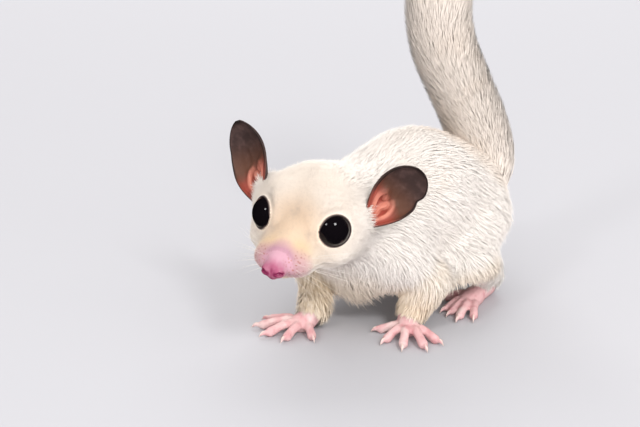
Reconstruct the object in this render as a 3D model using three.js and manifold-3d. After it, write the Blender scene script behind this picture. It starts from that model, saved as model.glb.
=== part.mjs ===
// A young sugar glider with pale fur and dark ears, life size, crouched on all fours with its
// head turned to its left and its bushy tail raised. Millimetres, +Z up, the animal faces -Y,
// its left is +X, and the floor under its feet is z = 0.
// The flesh comes from soft blends of rounded masses. Each part is a skin drawn over such a
// blend, and parts that touch are cut clear of each other by a thin gap.

import * as THREE from "three";
import { mergeVertices } from "three/addons/utils/BufferGeometryUtils.js";
import Module from "manifold-3d";

const wasm = await Module();
wasm.setup();

// Driving sizes
const GAP = 0.3;
const HEAD_AT = [4, 0, 38];
const HEAD_YAW = 23;
const HEAD_PITCH = 4;
const HEAD_ROLL = 6.5;
const EYE_CENTRE = [9.2, 1.6, -0.4];
const EYE_RADIUS = 5.3;
const LID_RADIUS = 4.75;
const LID_THICKNESS = 0.85;
const EYE_LOOK = [0.66, -0.72, 0.2];
const EAR_ROOT = { left: [18.4, 10.3, 2.6], right: [-16.2, 10.3, 1.1] };
const EAR_LINE = { left: [10.75, 4.5, 13.75], right: [-10.5, 4.5, 17.5] };
const EAR_LENGTH = { left: 18.5, right: 21.3 };
const EAR_SUNK = 3.5;
const EAR_THICKNESS = 0.8;
const BACK_HEIGHT = 54;
const BELLY_HEIGHT = 7;
const BODY_HALF_WIDTH = 21;
const RUMP_Y = 70;
const NECK_CUT_Y = 25;
const TAIL_RADIUS = 10.5;
const TAIL_CORE = 4.6;
const TAIL_ROOT_SWELL = 5.2;

// Colours of the fur, the bare skin, the ears and the eyes
const COLOURS = {
  fur: 0xf4e9dc,
  skin: 0xe2a6a8,
  ear: 0x50413e,
  eye: 0x0c0b0d,
};
const ROUGHNESS = { fur: 0.9, skin: 0.5, ear: 0.6, eye: 0.08 };

const point = (x, y, z) => new THREE.Vector3(x, y, z);
const vec = (list) => point(...list);
const radians = THREE.MathUtils.degToRad;
const mix = THREE.MathUtils.lerp;

// Rounded masses, each a function that is negative inside and grows outwards, in mm
function egg(centre, radii, turn = [0, 0, 0]) {
  const back = new THREE.Quaternion().setFromEuler(new THREE.Euler(...turn.map(radians))).invert();
  const c = vec(centre);
  const r = vec(radii);
  const r2 = r.clone().multiply(r);
  const q = point(0, 0, 0);
  return (p) => {
    q.copy(p).sub(c).applyQuaternion(back);
    const k0 = q.clone().divide(r).length();
    const k1 = q.divide(r2).length();
    return k1 < 1e-9 ? -Math.min(...radii) : (k0 * (k0 - 1)) / k1;
  };
}

function limb(from, to, fromRadius, toRadius) {
  const a = vec(from);
  const ab = vec(to).sub(a);
  const length2 = ab.lengthSq();
  const q = point(0, 0, 0);
  return (p) => {
    q.copy(p).sub(a);
    const t = THREE.MathUtils.clamp(q.dot(ab) / length2, 0, 1);
    return q.addScaledVector(ab, -t).length() - mix(fromRadius, toRadius, t);
  };
}

// Joins masses with a soft fillet whose size is in mm
function blend(fillet, ...masses) {
  return (p) => {
    let d = masses[0](p);
    for (const mass of masses.slice(1)) {
      const e = mass(p);
      const h = Math.max(fillet - Math.abs(d - e), 0) / fillet;
      d = Math.min(d, e) - (h * h * fillet) / 4;
    }
    return d;
  };
}

// A solid from a geometry, turned the right way out
function solid(geometry) {
  const bare = geometry.index ? geometry.clone() : geometry;
  bare.deleteAttribute("normal");
  bare.deleteAttribute("uv");
  const merged = mergeVertices(bare, 1e-4);
  const build = (index) =>
    new wasm.Manifold(
      new wasm.Mesh({
        numProp: 3,
        vertProperties: new Float32Array(merged.attributes.position.array),
        triVerts: new Uint32Array(index),
      }),
    );
  const index = Array.from(merged.index.array);
  const made = build(index);
  return made.volume() > 0 ? made : build(index.reverse());
}

// The largest closed piece of a solid
function largest(made) {
  const pieces = made.decompose().filter((piece) => piece.volume() > 0);
  return pieces.reduce((best, piece) => (piece.volume() > best.volume() ? piece : best));
}

const cutAll = (made, ...tools) => tools.reduce((left, tool) => left.subtract(tool), made);
const joinAll = (pieces) => wasm.Manifold.union(pieces);

// Closes rows of points, all of one length, into a skin with a pole at each end
function skinOver(firstPole, rows, lastPole) {
  const sides = rows[0].length;
  const positions = [firstPole, ...rows.flat(), lastPole].flatMap((p) => [p.x, p.y, p.z]);
  const at = (row, side) => 1 + row * sides + (side % sides);
  const last = positions.length / 3 - 1;
  const index = [];
  for (let side = 0; side < sides; side++) {
    index.push(0, at(0, side + 1), at(0, side));
    index.push(last, at(rows.length - 1, side), at(rows.length - 1, side + 1));
    for (let row = 0; row + 1 < rows.length; row++) {
      index.push(at(row, side), at(row, side + 1), at(row + 1, side));
      index.push(at(row, side + 1), at(row + 1, side + 1), at(row + 1, side));
    }
  }
  const geometry = new THREE.BufferGeometry();
  geometry.setAttribute("position", new THREE.Float32BufferAttribute(positions, 3));
  geometry.setIndex(index);
  return geometry;
}

const curveThrough = (points) => new THREE.CatmullRomCurve3(points.map(vec), false, "centripetal");

// The tangent, side and upper directions of a curve at a share of its length
function frameAt(curve, share, up = point(0, 0, 1)) {
  const along = curve.getTangentAt(share);
  const side = along.clone().cross(up).normalize();
  return { at: curve.getPointAt(share), along, side, top: side.clone().cross(along) };
}

// Draws a skin over a mass: rows of rays leave a spine, and each stops where the mass ends,
// grown by clear mm
const RAY_STEP = 0.6;
const RAY_REACH = 70;
function wrap({ spine, along, caps, sides, mass, clear = 0, up, first = 0, spacing = (t) => t }) {
  const curve = curveThrough(spine);
  const hit = (origin, direction) => {
    const p = point(0, 0, 0);
    const value = (r) => mass(p.copy(origin).addScaledVector(direction, r)) - clear;
    let near = 0;
    while (near < RAY_REACH && value(near + RAY_STEP) < 0) near += RAY_STEP;
    let far = near + RAY_STEP;
    for (let i = 0; i < 14; i++) {
      const middle = (near + far) / 2;
      if (value(middle) < 0) near = middle;
      else far = middle;
    }
    return origin.clone().addScaledVector(direction, far);
  };
  const ring = (share, latitude) => {
    const { at, along: axis, side, top } = frameAt(curve, share, up);
    return Array.from({ length: sides }, (_, i) => {
      const angle = first + (2 * Math.PI * i) / sides;
      const outward = side.clone().multiplyScalar(Math.cos(angle));
      outward.addScaledVector(top, Math.sin(angle)).multiplyScalar(Math.cos(latitude));
      return hit(at, outward.addScaledVector(axis, Math.sin(latitude)));
    });
  };
  const rows = [];
  for (let i = 1; i <= caps; i++) rows.push(ring(0, (Math.PI / 2) * (i / (caps + 1) - 1)));
  for (let i = 0; i <= along; i++) rows.push(ring(spacing(i / along), 0));
  for (let i = 1; i <= caps; i++) rows.push(ring(1, (Math.PI / 2) * (i / (caps + 1))));
  const start = frameAt(curve, 0, up);
  const end = frameAt(curve, 1, up);
  return solid(skinOver(hit(start.at, start.along.negate()), rows, hit(end.at, end.along)));
}

// A rod with round or pointed ends along a curve. radiusAt gives its half width at each share
// of its length, and flat is its thickness as a share of its width.
function rod({ points, radiusAt, steps, sides, flat = 1, up }) {
  const curve = curveThrough(points);
  const rows = [];
  for (let i = 1; i < steps; i++) {
    const share = i / steps;
    const { at, side, top } = frameAt(curve, share, up);
    const radius = radiusAt(share);
    rows.push(
      Array.from({ length: sides }, (_, j) => {
        const angle = (2 * Math.PI * (j + 0.5)) / sides;
        const p = at.clone().addScaledVector(side, radius * Math.cos(angle));
        return p.addScaledVector(top, radius * flat * Math.sin(angle));
      }),
    );
  }
  return solid(skinOver(curve.getPointAt(0), rows, curve.getPointAt(1)));
}

const ball = (centre, radius, across = 14, down = 10) =>
  solid(new THREE.SphereGeometry(radius, across, down).translate(...centre));

// Mirrors a list of coordinates to the animal's left (1) or right (-1)
const mirrored = (side, [x, y, z]) => [side * x, y, z];
const SIDES = { left: 1, right: -1 };

// Head, in its own frame: the origin is midway between the eyes
const eyeAt = (side) => mirrored(side, EYE_CENTRE);
const eyeLook = (side) => vec(mirrored(side, EYE_LOOK)).normalize();

const headMass = blend(
  3.5,
  egg([0, 10, 0.8], [15, 13.5, 11.6]),
  egg([9, 4.5, -6], [7, 10.5, 7], [0, 0, -14]),
  egg([-9, 4.5, -6], [7, 10.5, 7], [0, 0, 14]),
  egg([13.8, 10.5, 1], [5, 5.5, 6]),
  egg([-13.8, 10.5, 1], [5, 5.5, 6]),
  egg([6.2, 3.6, 4], [5.4, 6.4, 5.2]),
  egg([-6.2, 3.6, 4], [5.4, 6.4, 5.2]),
  limb([0, 0, -3.6], [0, -12.6, -6.4], 6.3, 3.5),
  egg([4.2, -7.6, -7.6], [4.8, 6.6, 4.4]),
  egg([-4.2, -7.6, -7.6], [4.8, 6.6, 4.4]),
  limb([0, 3, -9.2], [0, -8.8, -10.6], 6.2, 2.5),
);
const wrapHead = (clear) =>
  wrap({
    spine: [
      [0, -12.4, -7.4],
      [0, -6, -6],
      [0, 1, -3],
      [0, 9, -0.5],
    ],
    along: 13,
    caps: 5,
    sides: 26,
    mass: headMass,
    clear,
  });

// A raised rim round each eye
function lidRing(side) {
  const look = eyeLook(side);
  const ring = new THREE.TorusGeometry(LID_RADIUS, LID_THICKNESS, 5, 16);
  ring.applyQuaternion(new THREE.Quaternion().setFromUnitVectors(point(0, 0, 1), look));
  const rise = Math.sqrt(EYE_RADIUS ** 2 - LID_RADIUS ** 2) - 0.2;
  return solid(ring.translate(...vec(eyeAt(side)).addScaledVector(look, rise)));
}

// The room in front of each eye, so that the whole disc shows between the lids
function eyeOpening(side) {
  const look = eyeLook(side);
  const cone = new THREE.CylinderGeometry(LID_RADIUS + 1.1, LID_RADIUS - 0.1, 8, 16);
  cone.applyQuaternion(new THREE.Quaternion().setFromUnitVectors(point(0, 1, 0), look));
  return solid(cone.translate(...vec(eyeAt(side)).addScaledVector(look, 5.9)));
}

// The line of the mouth: a groove that follows the snout from corner to corner
const MOUTH = { z: -10.1, reach: 82, corner: 1.6, depth: 0.42, steps: 16 };
function mouthGroove() {
  const centre = point(0, -6.5, MOUTH.z);
  const points = [];
  for (let degrees = -MOUTH.reach; degrees <= MOUTH.reach; degrees += 12) {
    const turn = radians(degrees);
    const way = point(Math.sin(turn), -Math.cos(turn), 0);
    const at = centre.clone();
    at.z += MOUTH.corner * Math.abs(degrees / MOUTH.reach) ** 3;
    while (headMass(at) < 0) at.addScaledVector(way, 0.05);
    points.push(at.toArray());
  }
  const half = (share) => MOUTH.depth * Math.min(1, 8 * Math.min(share, 1 - share) + 0.2);
  return rod({ points, radiusAt: half, steps: MOUTH.steps, sides: 4 });
}

// The bare pad of the nose, with a nostril on each side and the groove between them
const noseMass = blend(
  1.2,
  egg([0, -15.4, -6.3], [2.5, 2.6, 2]),
  egg([1.35, -16.3, -7.7], [1.65, 2, 1.75]),
  egg([-1.35, -16.3, -7.7], [1.65, 2, 1.75]),
);
function noseSolid(head) {
  const pad = wrap({
    spine: [
      [0, -16.4, -7.3],
      [0, -14.6, -7],
    ],
    along: 2,
    caps: 4,
    sides: 16,
    mass: noseMass,
  });
  const slit = rod({
    points: [
      [0, -18, -5.6],
      [0, -19, -8],
      [0, -17, -10.4],
    ],
    radiusAt: () => 0.4,
    steps: 6,
    sides: 5,
  });
  const nostril = (side) =>
    rod({
      points: [
        [side * 1.2, -18.5, -8.1],
        [side * 2.3, -17.7, -7.6],
        [side * 3.4, -16.2, -7.9],
      ],
      radiusAt: () => 0.55,
      steps: 5,
      sides: 6,
    });
  return largest(cutAll(pad, slit, nostril(1), nostril(-1), head));
}

// Ear: a thin leaf rolled into a funnel at its root, with its cup turned forwards and out
const EAR = {
  rows: 10,
  columns: 8,
  halfWidth: { left: 7.4, right: 8.2 },
  rootHalfWidth: 5.2,
  widestAt: 0.56,
  rootRoll: 2,
  tipRoll: 0.4,
  face: [0.36, -0.9, 0.1],
};
function earFrame(side) {
  const line = vec(EAR_LINE[side]).normalize();
  const across = vec(mirrored(SIDES[side], EAR.face)).cross(line).normalize();
  const face = line.clone().cross(across).normalize();
  return { line, face, across: across.multiplyScalar(-SIDES[side]) };
}
// Half the ear's width, on its outer or inner edge, at a share of its length
function earHalfWidth(side, share, outer) {
  const root = EAR.rootHalfWidth * (1 - 0.6 * share);
  const away = Math.abs(share - EAR.widestAt) / (share > EAR.widestAt ? 1 - EAR.widestAt : EAR.widestAt);
  const blade = EAR.halfWidth[side] * Math.sqrt(Math.max(0, 1 - away ** 2.3));
  const notch = outer ? 0.9 * Math.exp(-(((share - 0.62) / 0.08) ** 2)) : 0;
  return (share < 0.3 ? Math.max(root, blade) : blade) - notch;
}
function earSolid(side, clear = 0) {
  const { line, face, across } = earFrame(side);
  const root = vec(EAR_ROOT[side]).addScaledVector(line, -EAR_SUNK);
  const length = EAR_LENGTH[side] + EAR_SUNK;
  const sheet = (lift) =>
    Array.from({ length: EAR.rows }, (_, i) => {
      const share = (i + 0.25) / (EAR.rows - 0.45);
      const roll = mix(EAR.tipRoll, EAR.rootRoll, (1 - share) ** 1.6);
      const at = root.clone().addScaledVector(line, share * (length + clear));
      at.addScaledVector(face, -2.6 * Math.sin(Math.PI * share));
      return Array.from({ length: EAR.columns + 1 }, (__, j) => {
        const turn = (2 * j) / EAR.columns - 1;
        const radius = Math.max(0.6, (earHalfWidth(side, share, turn > 0) + clear) / roll);
        const inner = radius - lift;
        const p = at.clone().addScaledVector(across, inner * Math.sin(roll * turn));
        return p.addScaledVector(face, radius - inner * Math.cos(roll * turn));
      });
    });
  const hollowSide = sheet(EAR_THICKNESS / 2 + clear);
  const outerSide = sheet(-EAR_THICKNESS / 2 - clear);
  const rows = hollowSide.map((row, i) => [...row, ...outerSide[i].reverse()]);
  const middleOf = (row) => row[EAR.columns / 2].clone().lerp(row[row.length - 1 - EAR.columns / 2], 0.5);
  const leaf = solid(skinOver(middleOf(rows[0]), rows, middleOf(rows[EAR.rows - 1])));
  if (clear) return leaf;
  const fold = (share, turn, tall, thick) => {
    const at = root.clone().addScaledVector(line, share * length).addScaledVector(face, 0.4);
    at.addScaledVector(across, turn);
    const tilt = new THREE.Quaternion().setFromUnitVectors(point(0, 0, 1), line);
    const lobe = new THREE.SphereGeometry(1, 8, 6).rotateX(Math.PI / 2).scale(thick, thick, tall);
    return solid(lobe.applyQuaternion(tilt).translate(at.x, at.y, at.z));
  };
  return joinAll([leaf, fold(0.34, -1.5, 4.2, 1.25), fold(0.28, 1.4, 3.2, 1.1)]);
}

// Trunk: neck and torso are one mass, parted by a thin cut
const middle = (BACK_HEIGHT + BELLY_HEIGHT) / 2;
const trunkMass = blend(
  9,
  limb([2, 12, 38], [0, 30, 31], 13.2, 16),
  egg([0, 31, 26], [16.8, 17, 20.5]),
  egg([0, 51, middle], [BODY_HALF_WIDTH, 25, (BACK_HEIGHT - BELLY_HEIGHT) / 2]),
  egg([0, RUMP_Y, 26], [19, 17.5, 18.5]),
  egg([13.5, 32, 22], [7, 9, 11]),
  egg([-12.5, 27, 22], [7, 9, 11]),
);
const wrapTrunk = (clear) =>
  wrap({
    spine: [
      [2.5, 13, 37],
      [0.5, 26, 32],
      [0, 48, 30],
      [0, 74, 26],
    ],
    along: 15,
    caps: 3,
    sides: 24,
    mass: trunkMass,
    clear,
  });

// Limbs. Joint places are for the left side; each foot has its own place and turn.
const SHOULDER = { left: [15, 30, 24], right: [-14.5, 27, 24] };
const ELBOW = { left: [20, 37, 14.5], right: [-12.5, 23, 13.5] };
const WRIST = { left: [18, 32.6, 5.6], right: [-3.8, 13.4, 5.6] };
const HAND_AT = { left: [18.2, 30.4, 0], right: [-3.2, 11, 0] };
const HAND_TURN = { left: 42, right: -25 };
const HIP = { left: [12, 67, 24], right: [-12, 67, 24] };
const KNEE = { left: [20.5, 54, 16.5], right: [-20.5, 54, 16.5] };
const ANKLE = { left: [17, 69, 6], right: [-17, 69, 6] };
const FOOT_AT = { left: [17.2, 65.5, 0], right: [-17.2, 65.5, 0] };
const FOOT_TURN = { left: 12, right: -12 };

const LIMBS = {
  upper_arm: { from: SHOULDER, to: ELBOW, radii: [7.2, 6.2], along: 2 },
  forearm: { from: ELBOW, to: WRIST, radii: [5.9, 4], along: 3 },
  thigh: { from: HIP, to: KNEE, radii: [12, 7.6], along: 4 },
  shank: { from: KNEE, to: ANKLE, radii: [6.6, 3.3], along: 4 },
};
function wrapLimb(name, side, clear = 0) {
  const { from, to, radii, along } = LIMBS[name];
  const spine = [from[side], to[side]];
  const mass = limb(from[side], to[side], ...radii);
  return wrap({ spine, along, caps: 3, sides: 14, mass, clear, up: point(0.2, 1, 0.1) });
}

// A finger or toe: it arches from a knuckle down to a pad on the floor, and ends in a claw
const PAD_HEIGHT = 1;
function digit({ from, angle, length, radius, claw = 1.6, splay = 0 }) {
  const way = point(Math.sin(radians(angle)), -Math.cos(radians(angle)), 0);
  const start = vec(from);
  const bend = start.clone().addScaledVector(way, length * 0.45);
  bend.z = Math.max(start.z, radius) * 0.95 + splay;
  const pad = start.clone().addScaledVector(way, length);
  pad.z = PAD_HEIGHT;
  const last = pad.clone().addScaledVector(way, radius);
  const thick = (share) =>
    radius * (share < 0.5 ? mix(1.15, 0.86, share * 2) : mix(0.86, 1.12, (share - 0.5) * 2)) *
    Math.sqrt(Math.max(0.15, 1 - Math.max(0, (share - 0.85) / 0.15) ** 2));
  const flesh = rod({
    points: [start, bend, pad, last].map((p) => p.toArray()),
    radiusAt: thick,
    steps: 6,
    sides: 6,
  });
  if (!claw) return [flesh];
  const root = last.clone().addScaledVector(way, -radius * 0.9);
  root.z = PAD_HEIGHT + 0.5;
  const crest = last.clone().addScaledVector(way, claw * 0.35);
  crest.z = PAD_HEIGHT + 0.45;
  const tip = last.clone().addScaledVector(way, claw * 0.8);
  tip.z = 0.15;
  const nail = rod({
    points: [root, crest, tip].map((p) => p.toArray()),
    radiusAt: (share) => mix(0.6, 0.18, share),
    steps: 3,
    sides: 4,
  });
  return [flesh, nail];
}

// Hand and foot, in their own frames: the origin is on the floor under the wrist or heel,
// and the digits point to -Y
const HAND_DIGITS = [
  { from: [-2.2, -1.4, 2.2], angle: -84, length: 6, radius: 1.15 },
  { from: [-2, -3.4, 2.6], angle: -36, length: 7.4, radius: 1.15 },
  { from: [-0.5, -4.2, 2.8], angle: -6, length: 9.2, radius: 1.2 },
  { from: [1.2, -4, 2.7], angle: 20, length: 10, radius: 1.2 },
  { from: [2.4, -3, 2.4], angle: 43, length: 8.6, radius: 1.15 },
];
const FOOT_DIGITS = [
  { from: [-2.4, -5.5, 2.2], angle: -62, length: 6.4, radius: 1.25, claw: 0 },
  { from: [-1.9, -10.5, 2.6], angle: -16, length: 6.6, radius: 0.95 },
  { from: [-0.5, -11, 2.7], angle: -5, length: 7.4, radius: 0.95 },
  { from: [1.1, -11, 2.6], angle: 9, length: 9.2, radius: 1.15 },
  { from: [2.4, -10, 2.3], angle: 26, length: 8.4, radius: 1.1 },
];
const HAND_MASS = blend(
  1.6,
  egg([0, -2.2, 2.1], [3.1, 3.7, 2.5]),
  limb([0, 1.2, 4.8], [0, -1.6, 2.6], 2.8, 2.3),
);
const FOOT_MASS = blend(
  1.8,
  limb([0, 2.2, 3], [0, -6, 2.2], 2.7, 2.5),
  egg([0, -8.6, 2.1], [3.3, 4, 2.5]),
);
const WRAP_PALM = {
  hand: { spine: [[0, 1.2, 4], [0, -3, 2.2]], mass: HAND_MASS, along: 2, caps: 3, sides: 12 },
  foot: { spine: [[0, 1.6, 2.8], [0, -9, 2.2]], mass: FOOT_MASS, along: 4, caps: 3, sides: 12 },
};
const DIGITS = { hand: HAND_DIGITS, foot: FOOT_DIGITS };
const flipX = (made) => made.mirror([1, 0, 0]);

// The digits of a hand or foot go from the inner side (thumb) to the outer side
function extremity(kind, side, place, turn, ...tools) {
  const palm = wrap(WRAP_PALM[kind]);
  const digits = DIGITS[kind].flatMap(digit);
  const left = joinAll([palm, ...digits]).trimByPlane([0, 0, 1], 0);
  const made = SIDES[side] > 0 ? left : flipX(left);
  const matrix = new THREE.Matrix4().makeRotationZ(radians(turn)).setPosition(...place);
  const back = matrix.clone().invert();
  const local = tools.map((tool) => tool.transform(back.elements));
  return { made: largest(cutAll(made, ...local)), matrix };
}

// The gliding membrane, folded along each flank from the forearm to the ankle
const MEMBRANE = { half: 5, flat: 0.3, steps: 12, ripple: 0.5, waves: 2.5 };
const MEMBRANE_LINE = {
  left: [[20, 36.5, 7], [22.2, 41.5, 9.5], [23.6, 46.5, 11.5], [25.6, 51, 13.5], [28, 57, 14.5], [25, 64, 10.5], [21, 69, 7]],
  right: [[-13.5, 25, 9], [-18.5, 34, 11], [-22, 43, 13], [-25, 50, 13.5], [-28, 57, 14.5], [-25, 64, 10.5], [-21, 69, 7]],
};
function membrane(side) {
  const out = SIDES[side];
  const rippled = MEMBRANE_LINE[side].map(([x, y, z], i) => [x + out * MEMBRANE.ripple * (i % 2), y, z]);
  const half = (share) => {
    const ends = Math.sin(Math.PI * Math.min(1, Math.max(0, share))) ** 0.45;
    return MEMBRANE.half * ends * (1 + 0.12 * Math.sin(2 * Math.PI * MEMBRANE.waves * share));
  };
  return rod({
    points: rippled,
    radiusAt: half,
    steps: MEMBRANE.steps,
    sides: 7,
    flat: MEMBRANE.flat,
    up: point(out * 0.8, 0, 0.6),
  });
}

// Tail: a core with shingled locks, in lengths that are parted by thin cuts
const TAIL_LINE = [
  [0, 78, 24],
  [0, 84, 34],
  [0, 80, 48],
  [-0.5, 72.5, 62],
  [-1, 65, 76],
  [-1, 62.5, 90],
  [-0.5, 67, 104],
  [0, 78, 114],
  [0.5, 90, 116],
  [1, 99.5, 110],
];
const TAIL_NODES = ["tail_base", "tail_lower", "tail_middle", "tail_tip"];
const tailCurve = curveThrough(TAIL_LINE);
const TAIL_LENGTH = tailCurve.getLength();
const TAIL_END = 0.93;
const TAIL_ROW = 10.4;
const TAIL_FIRST_ROW = 8;
const ROWS_PER_NODE = 3;
const CUT_BEFORE_ROW = 3.6;
const LOCK = { perRow: 8, length: 19.5, halfWidth: 2.7, flat: 0.28, sunk: 1.2, steps: 5, sides: 4 };

// Repeatable small differences between locks
let seed = 7;
function vary(amount) {
  seed = (seed * 16807) % 2147483647;
  return amount * (2 * (seed / 2147483647) - 1);
}

const tailRadius = (d) =>
  TAIL_RADIUS * Math.min(1, 0.9 + d / 150) * Math.sqrt(Math.max(0.14, 1 - (d / TAIL_LENGTH) ** 10));
const coreRadius = (d) =>
  TAIL_CORE * Math.min(1, Math.max(0.3, (TAIL_LENGTH * TAIL_END - d) / 22)) +
  TAIL_ROOT_SWELL * Math.max(0, 1 - d / 26) ** 1.5;

function tailPoint(d, radius, angle) {
  const { at, side, top } = frameAt(tailCurve, Math.min(d / TAIL_LENGTH, 0.999), point(1, 0, 0));
  const outward = side.multiplyScalar(Math.cos(angle)).addScaledVector(top, Math.sin(angle));
  return { at: at.addScaledVector(outward, radius), outward };
}

function tailCore(from, to) {
  const steps = 5;
  const sides = 10;
  const rows = Array.from({ length: steps + 1 }, (_, i) => {
    const d = mix(from, to, i / steps);
    return Array.from({ length: sides }, (__, j) => {
      return tailPoint(d, coreRadius(d), (2 * Math.PI * (j + 0.5)) / sides).at;
    });
  });
  return solid(skinOver(tailPoint(from, 0, 0).at, rows, tailPoint(to, 0, 0).at));
}

// A lock leaves the core and lies back towards the tip, over the roots of the next row
function tailLock(d, angle) {
  const length = Math.min(LOCK.length + vary(2), TAIL_LENGTH - d);
  const from = coreRadius(d) - LOCK.sunk;
  const to = Math.max(tailRadius(d + length), coreRadius(d) + 2.5) - 0.5 + vary(0.5);
  const turn = vary(0.1);
  const points = [0, 0.25, 0.5, 0.75, 1].map((share) => {
    return tailPoint(d + share * length, mix(from, to, share ** 0.75), angle + turn * share).at.toArray();
  });
  const width = LOCK.halfWidth + vary(0.2);
  return rod({
    points,
    radiusAt: (share) => width * (share < 0.5 ? mix(0.55, 1, share * 2) : Math.sqrt(2.1 - 2 * share)),
    steps: LOCK.steps,
    sides: LOCK.sides,
    flat: LOCK.flat,
    up: tailPoint(d + length / 2, 0, angle).outward,
  });
}

const rowAt = (row) => TAIL_FIRST_ROW + row * TAIL_ROW;
const TAIL_ROWS = TAIL_NODES.length * ROWS_PER_NODE - 1;
function tailLength(index) {
  const firstRow = index * ROWS_PER_NODE;
  const isLast = index === TAIL_NODES.length - 1;
  const from = index === 0 ? 0 : rowAt(firstRow) - CUT_BEFORE_ROW + GAP;
  const to = isLast ? TAIL_LENGTH * TAIL_END : rowAt(firstRow + ROWS_PER_NODE) - CUT_BEFORE_ROW;
  const pieces = [tailCore(from, to)];
  for (let row = firstRow; row < Math.min(firstRow + ROWS_PER_NODE, TAIL_ROWS); row++) {
    const count = row > TAIL_ROWS - 3 ? LOCK.perRow - 2 : LOCK.perRow;
    for (let i = 0; i < count; i++) {
      const angle = (2 * Math.PI * (i + (row % 2) / 2)) / count + vary(0.05);
      pieces.push(tailLock(rowAt(row) + vary(0.8), angle));
    }
  }
  return joinAll(pieces);
}

// The whole animal
const glider = new THREE.Group();
const materials = Object.fromEntries(
  Object.entries(COLOURS).map(([name, color]) => [
    name,
    new THREE.MeshStandardMaterial({ color, roughness: ROUGHNESS[name], metalness: 0 }),
  ]),
);

function addNode(group, name, made, material) {
  const { vertProperties, triVerts, numProp } = made.getMesh();
  const geometry = new THREE.BufferGeometry();
  const places = vertProperties.filter((_, i) => i % numProp < 3);
  geometry.setAttribute("position", new THREE.BufferAttribute(places, 3));
  geometry.setIndex(new THREE.BufferAttribute(triVerts, 1));
  geometry.computeVertexNormals();
  const mesh = new THREE.Mesh(geometry, materials[material]);
  mesh.name = name;
  group.add(mesh);
  return mesh;
}

const headGroup = new THREE.Group();
headGroup.position.set(...HEAD_AT);
headGroup.rotation.set(radians(HEAD_PITCH), radians(HEAD_ROLL), radians(HEAD_YAW), "ZXY");
headGroup.updateMatrix();
glider.add(headGroup);

const sockets = Object.values(SIDES).map((side) => ball(eyeAt(side), EYE_RADIUS + GAP));
const lids = Object.values(SIDES).map(lidRing);
const openings = Object.values(SIDES).map(eyeOpening);
const skull = cutAll(wrapHead(0), ...openings);
const head = largest(cutAll(joinAll([skull, ...lids]), ...sockets, mouthGroove()));
const headClear = wrapHead(GAP);
addNode(headGroup, "head", head, "fur");
addNode(headGroup, "nose", noseSolid(headClear), "skin");
for (const [name, side] of Object.entries(SIDES)) {
  addNode(headGroup, `eye_${name}`, ball(eyeAt(side), EYE_RADIUS), "eye");
  addNode(headGroup, `ear_${name}`, largest(earSolid(name).subtract(headClear)), "ear");
}

const headInWorld = headClear.transform(headGroup.matrix.elements);
const earsInWorld = Object.keys(SIDES).map((side) =>
  earSolid(side, GAP).transform(headGroup.matrix.elements),
);
const trunk = wrapTrunk(0);
const trunkClear = wrapTrunk(GAP);
const neck = largest(cutAll(trunk.trimByPlane([0, -1, 0], -NECK_CUT_Y), headInWorld, ...earsInWorld));
const torso = largest(cutAll(trunk.trimByPlane([0, 1, 0], NECK_CUT_Y + GAP), headInWorld, ...earsInWorld));
addNode(glider, "neck", neck, "fur");
addNode(glider, "torso", torso, "fur");

for (const side of Object.keys(SIDES)) {
  const upperArm = largest(wrapLimb("upper_arm", side).subtract(trunkClear));
  const upperArmClear = wrapLimb("upper_arm", side, GAP);
  const forearm = largest(cutAll(wrapLimb("forearm", side), upperArmClear, trunkClear));
  const forearmClear = wrapLimb("forearm", side, GAP);
  const thigh = largest(wrapLimb("thigh", side).subtract(trunkClear));
  const thighClear = wrapLimb("thigh", side, GAP);
  const shank = largest(cutAll(wrapLimb("shank", side), thighClear, trunkClear));
  const shankClear = wrapLimb("shank", side, GAP);
  addNode(glider, `upper_arm_${side}`, upperArm, "fur");
  addNode(glider, `forearm_${side}`, forearm.trimByPlane([0, 0, 1], 0.5), "fur");
  addNode(glider, `thigh_${side}`, thigh, "fur");
  addNode(glider, `shank_${side}`, shank.trimByPlane([0, 0, 1], 0.5), "fur");
  const hand = extremity("hand", side, HAND_AT[side], HAND_TURN[side], forearmClear, trunkClear);
  const foot = extremity("foot", side, FOOT_AT[side], FOOT_TURN[side], shankClear, trunkClear);
  for (const [kind, { made, matrix }] of Object.entries({ hand, foot })) {
    addNode(glider, `${kind}_${side}`, made, "skin").applyMatrix4(matrix);
  }
  const limbsClear = [upperArmClear, forearmClear, thighClear, shankClear, trunkClear];
  addNode(glider, `membrane_${side}`, largest(cutAll(membrane(side), ...limbsClear)), "fur");
}

TAIL_NODES.forEach((name, index) => {
  addNode(glider, name, largest(tailLength(index).subtract(trunkClear)), "fur");
});

// The part's origin is on the floor, under the middle of its outline
glider.updateMatrixWorld(true);
const bounds = new THREE.Box3().setFromObject(glider, true);
const centre = bounds.getCenter(point(0, 0, 0));
glider.position.set(-centre.x, -centre.y, -bounds.min.z);

export default glider;
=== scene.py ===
"""A young sugar glider with pale fur and dark ears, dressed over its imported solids."""

import math

import bpy
import numpy as np
from bpy.props import FloatProperty, FloatVectorProperty, IntProperty, PointerProperty
from mathutils import Matrix, Vector
from mathutils.bvhtree import BVHTree


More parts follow.
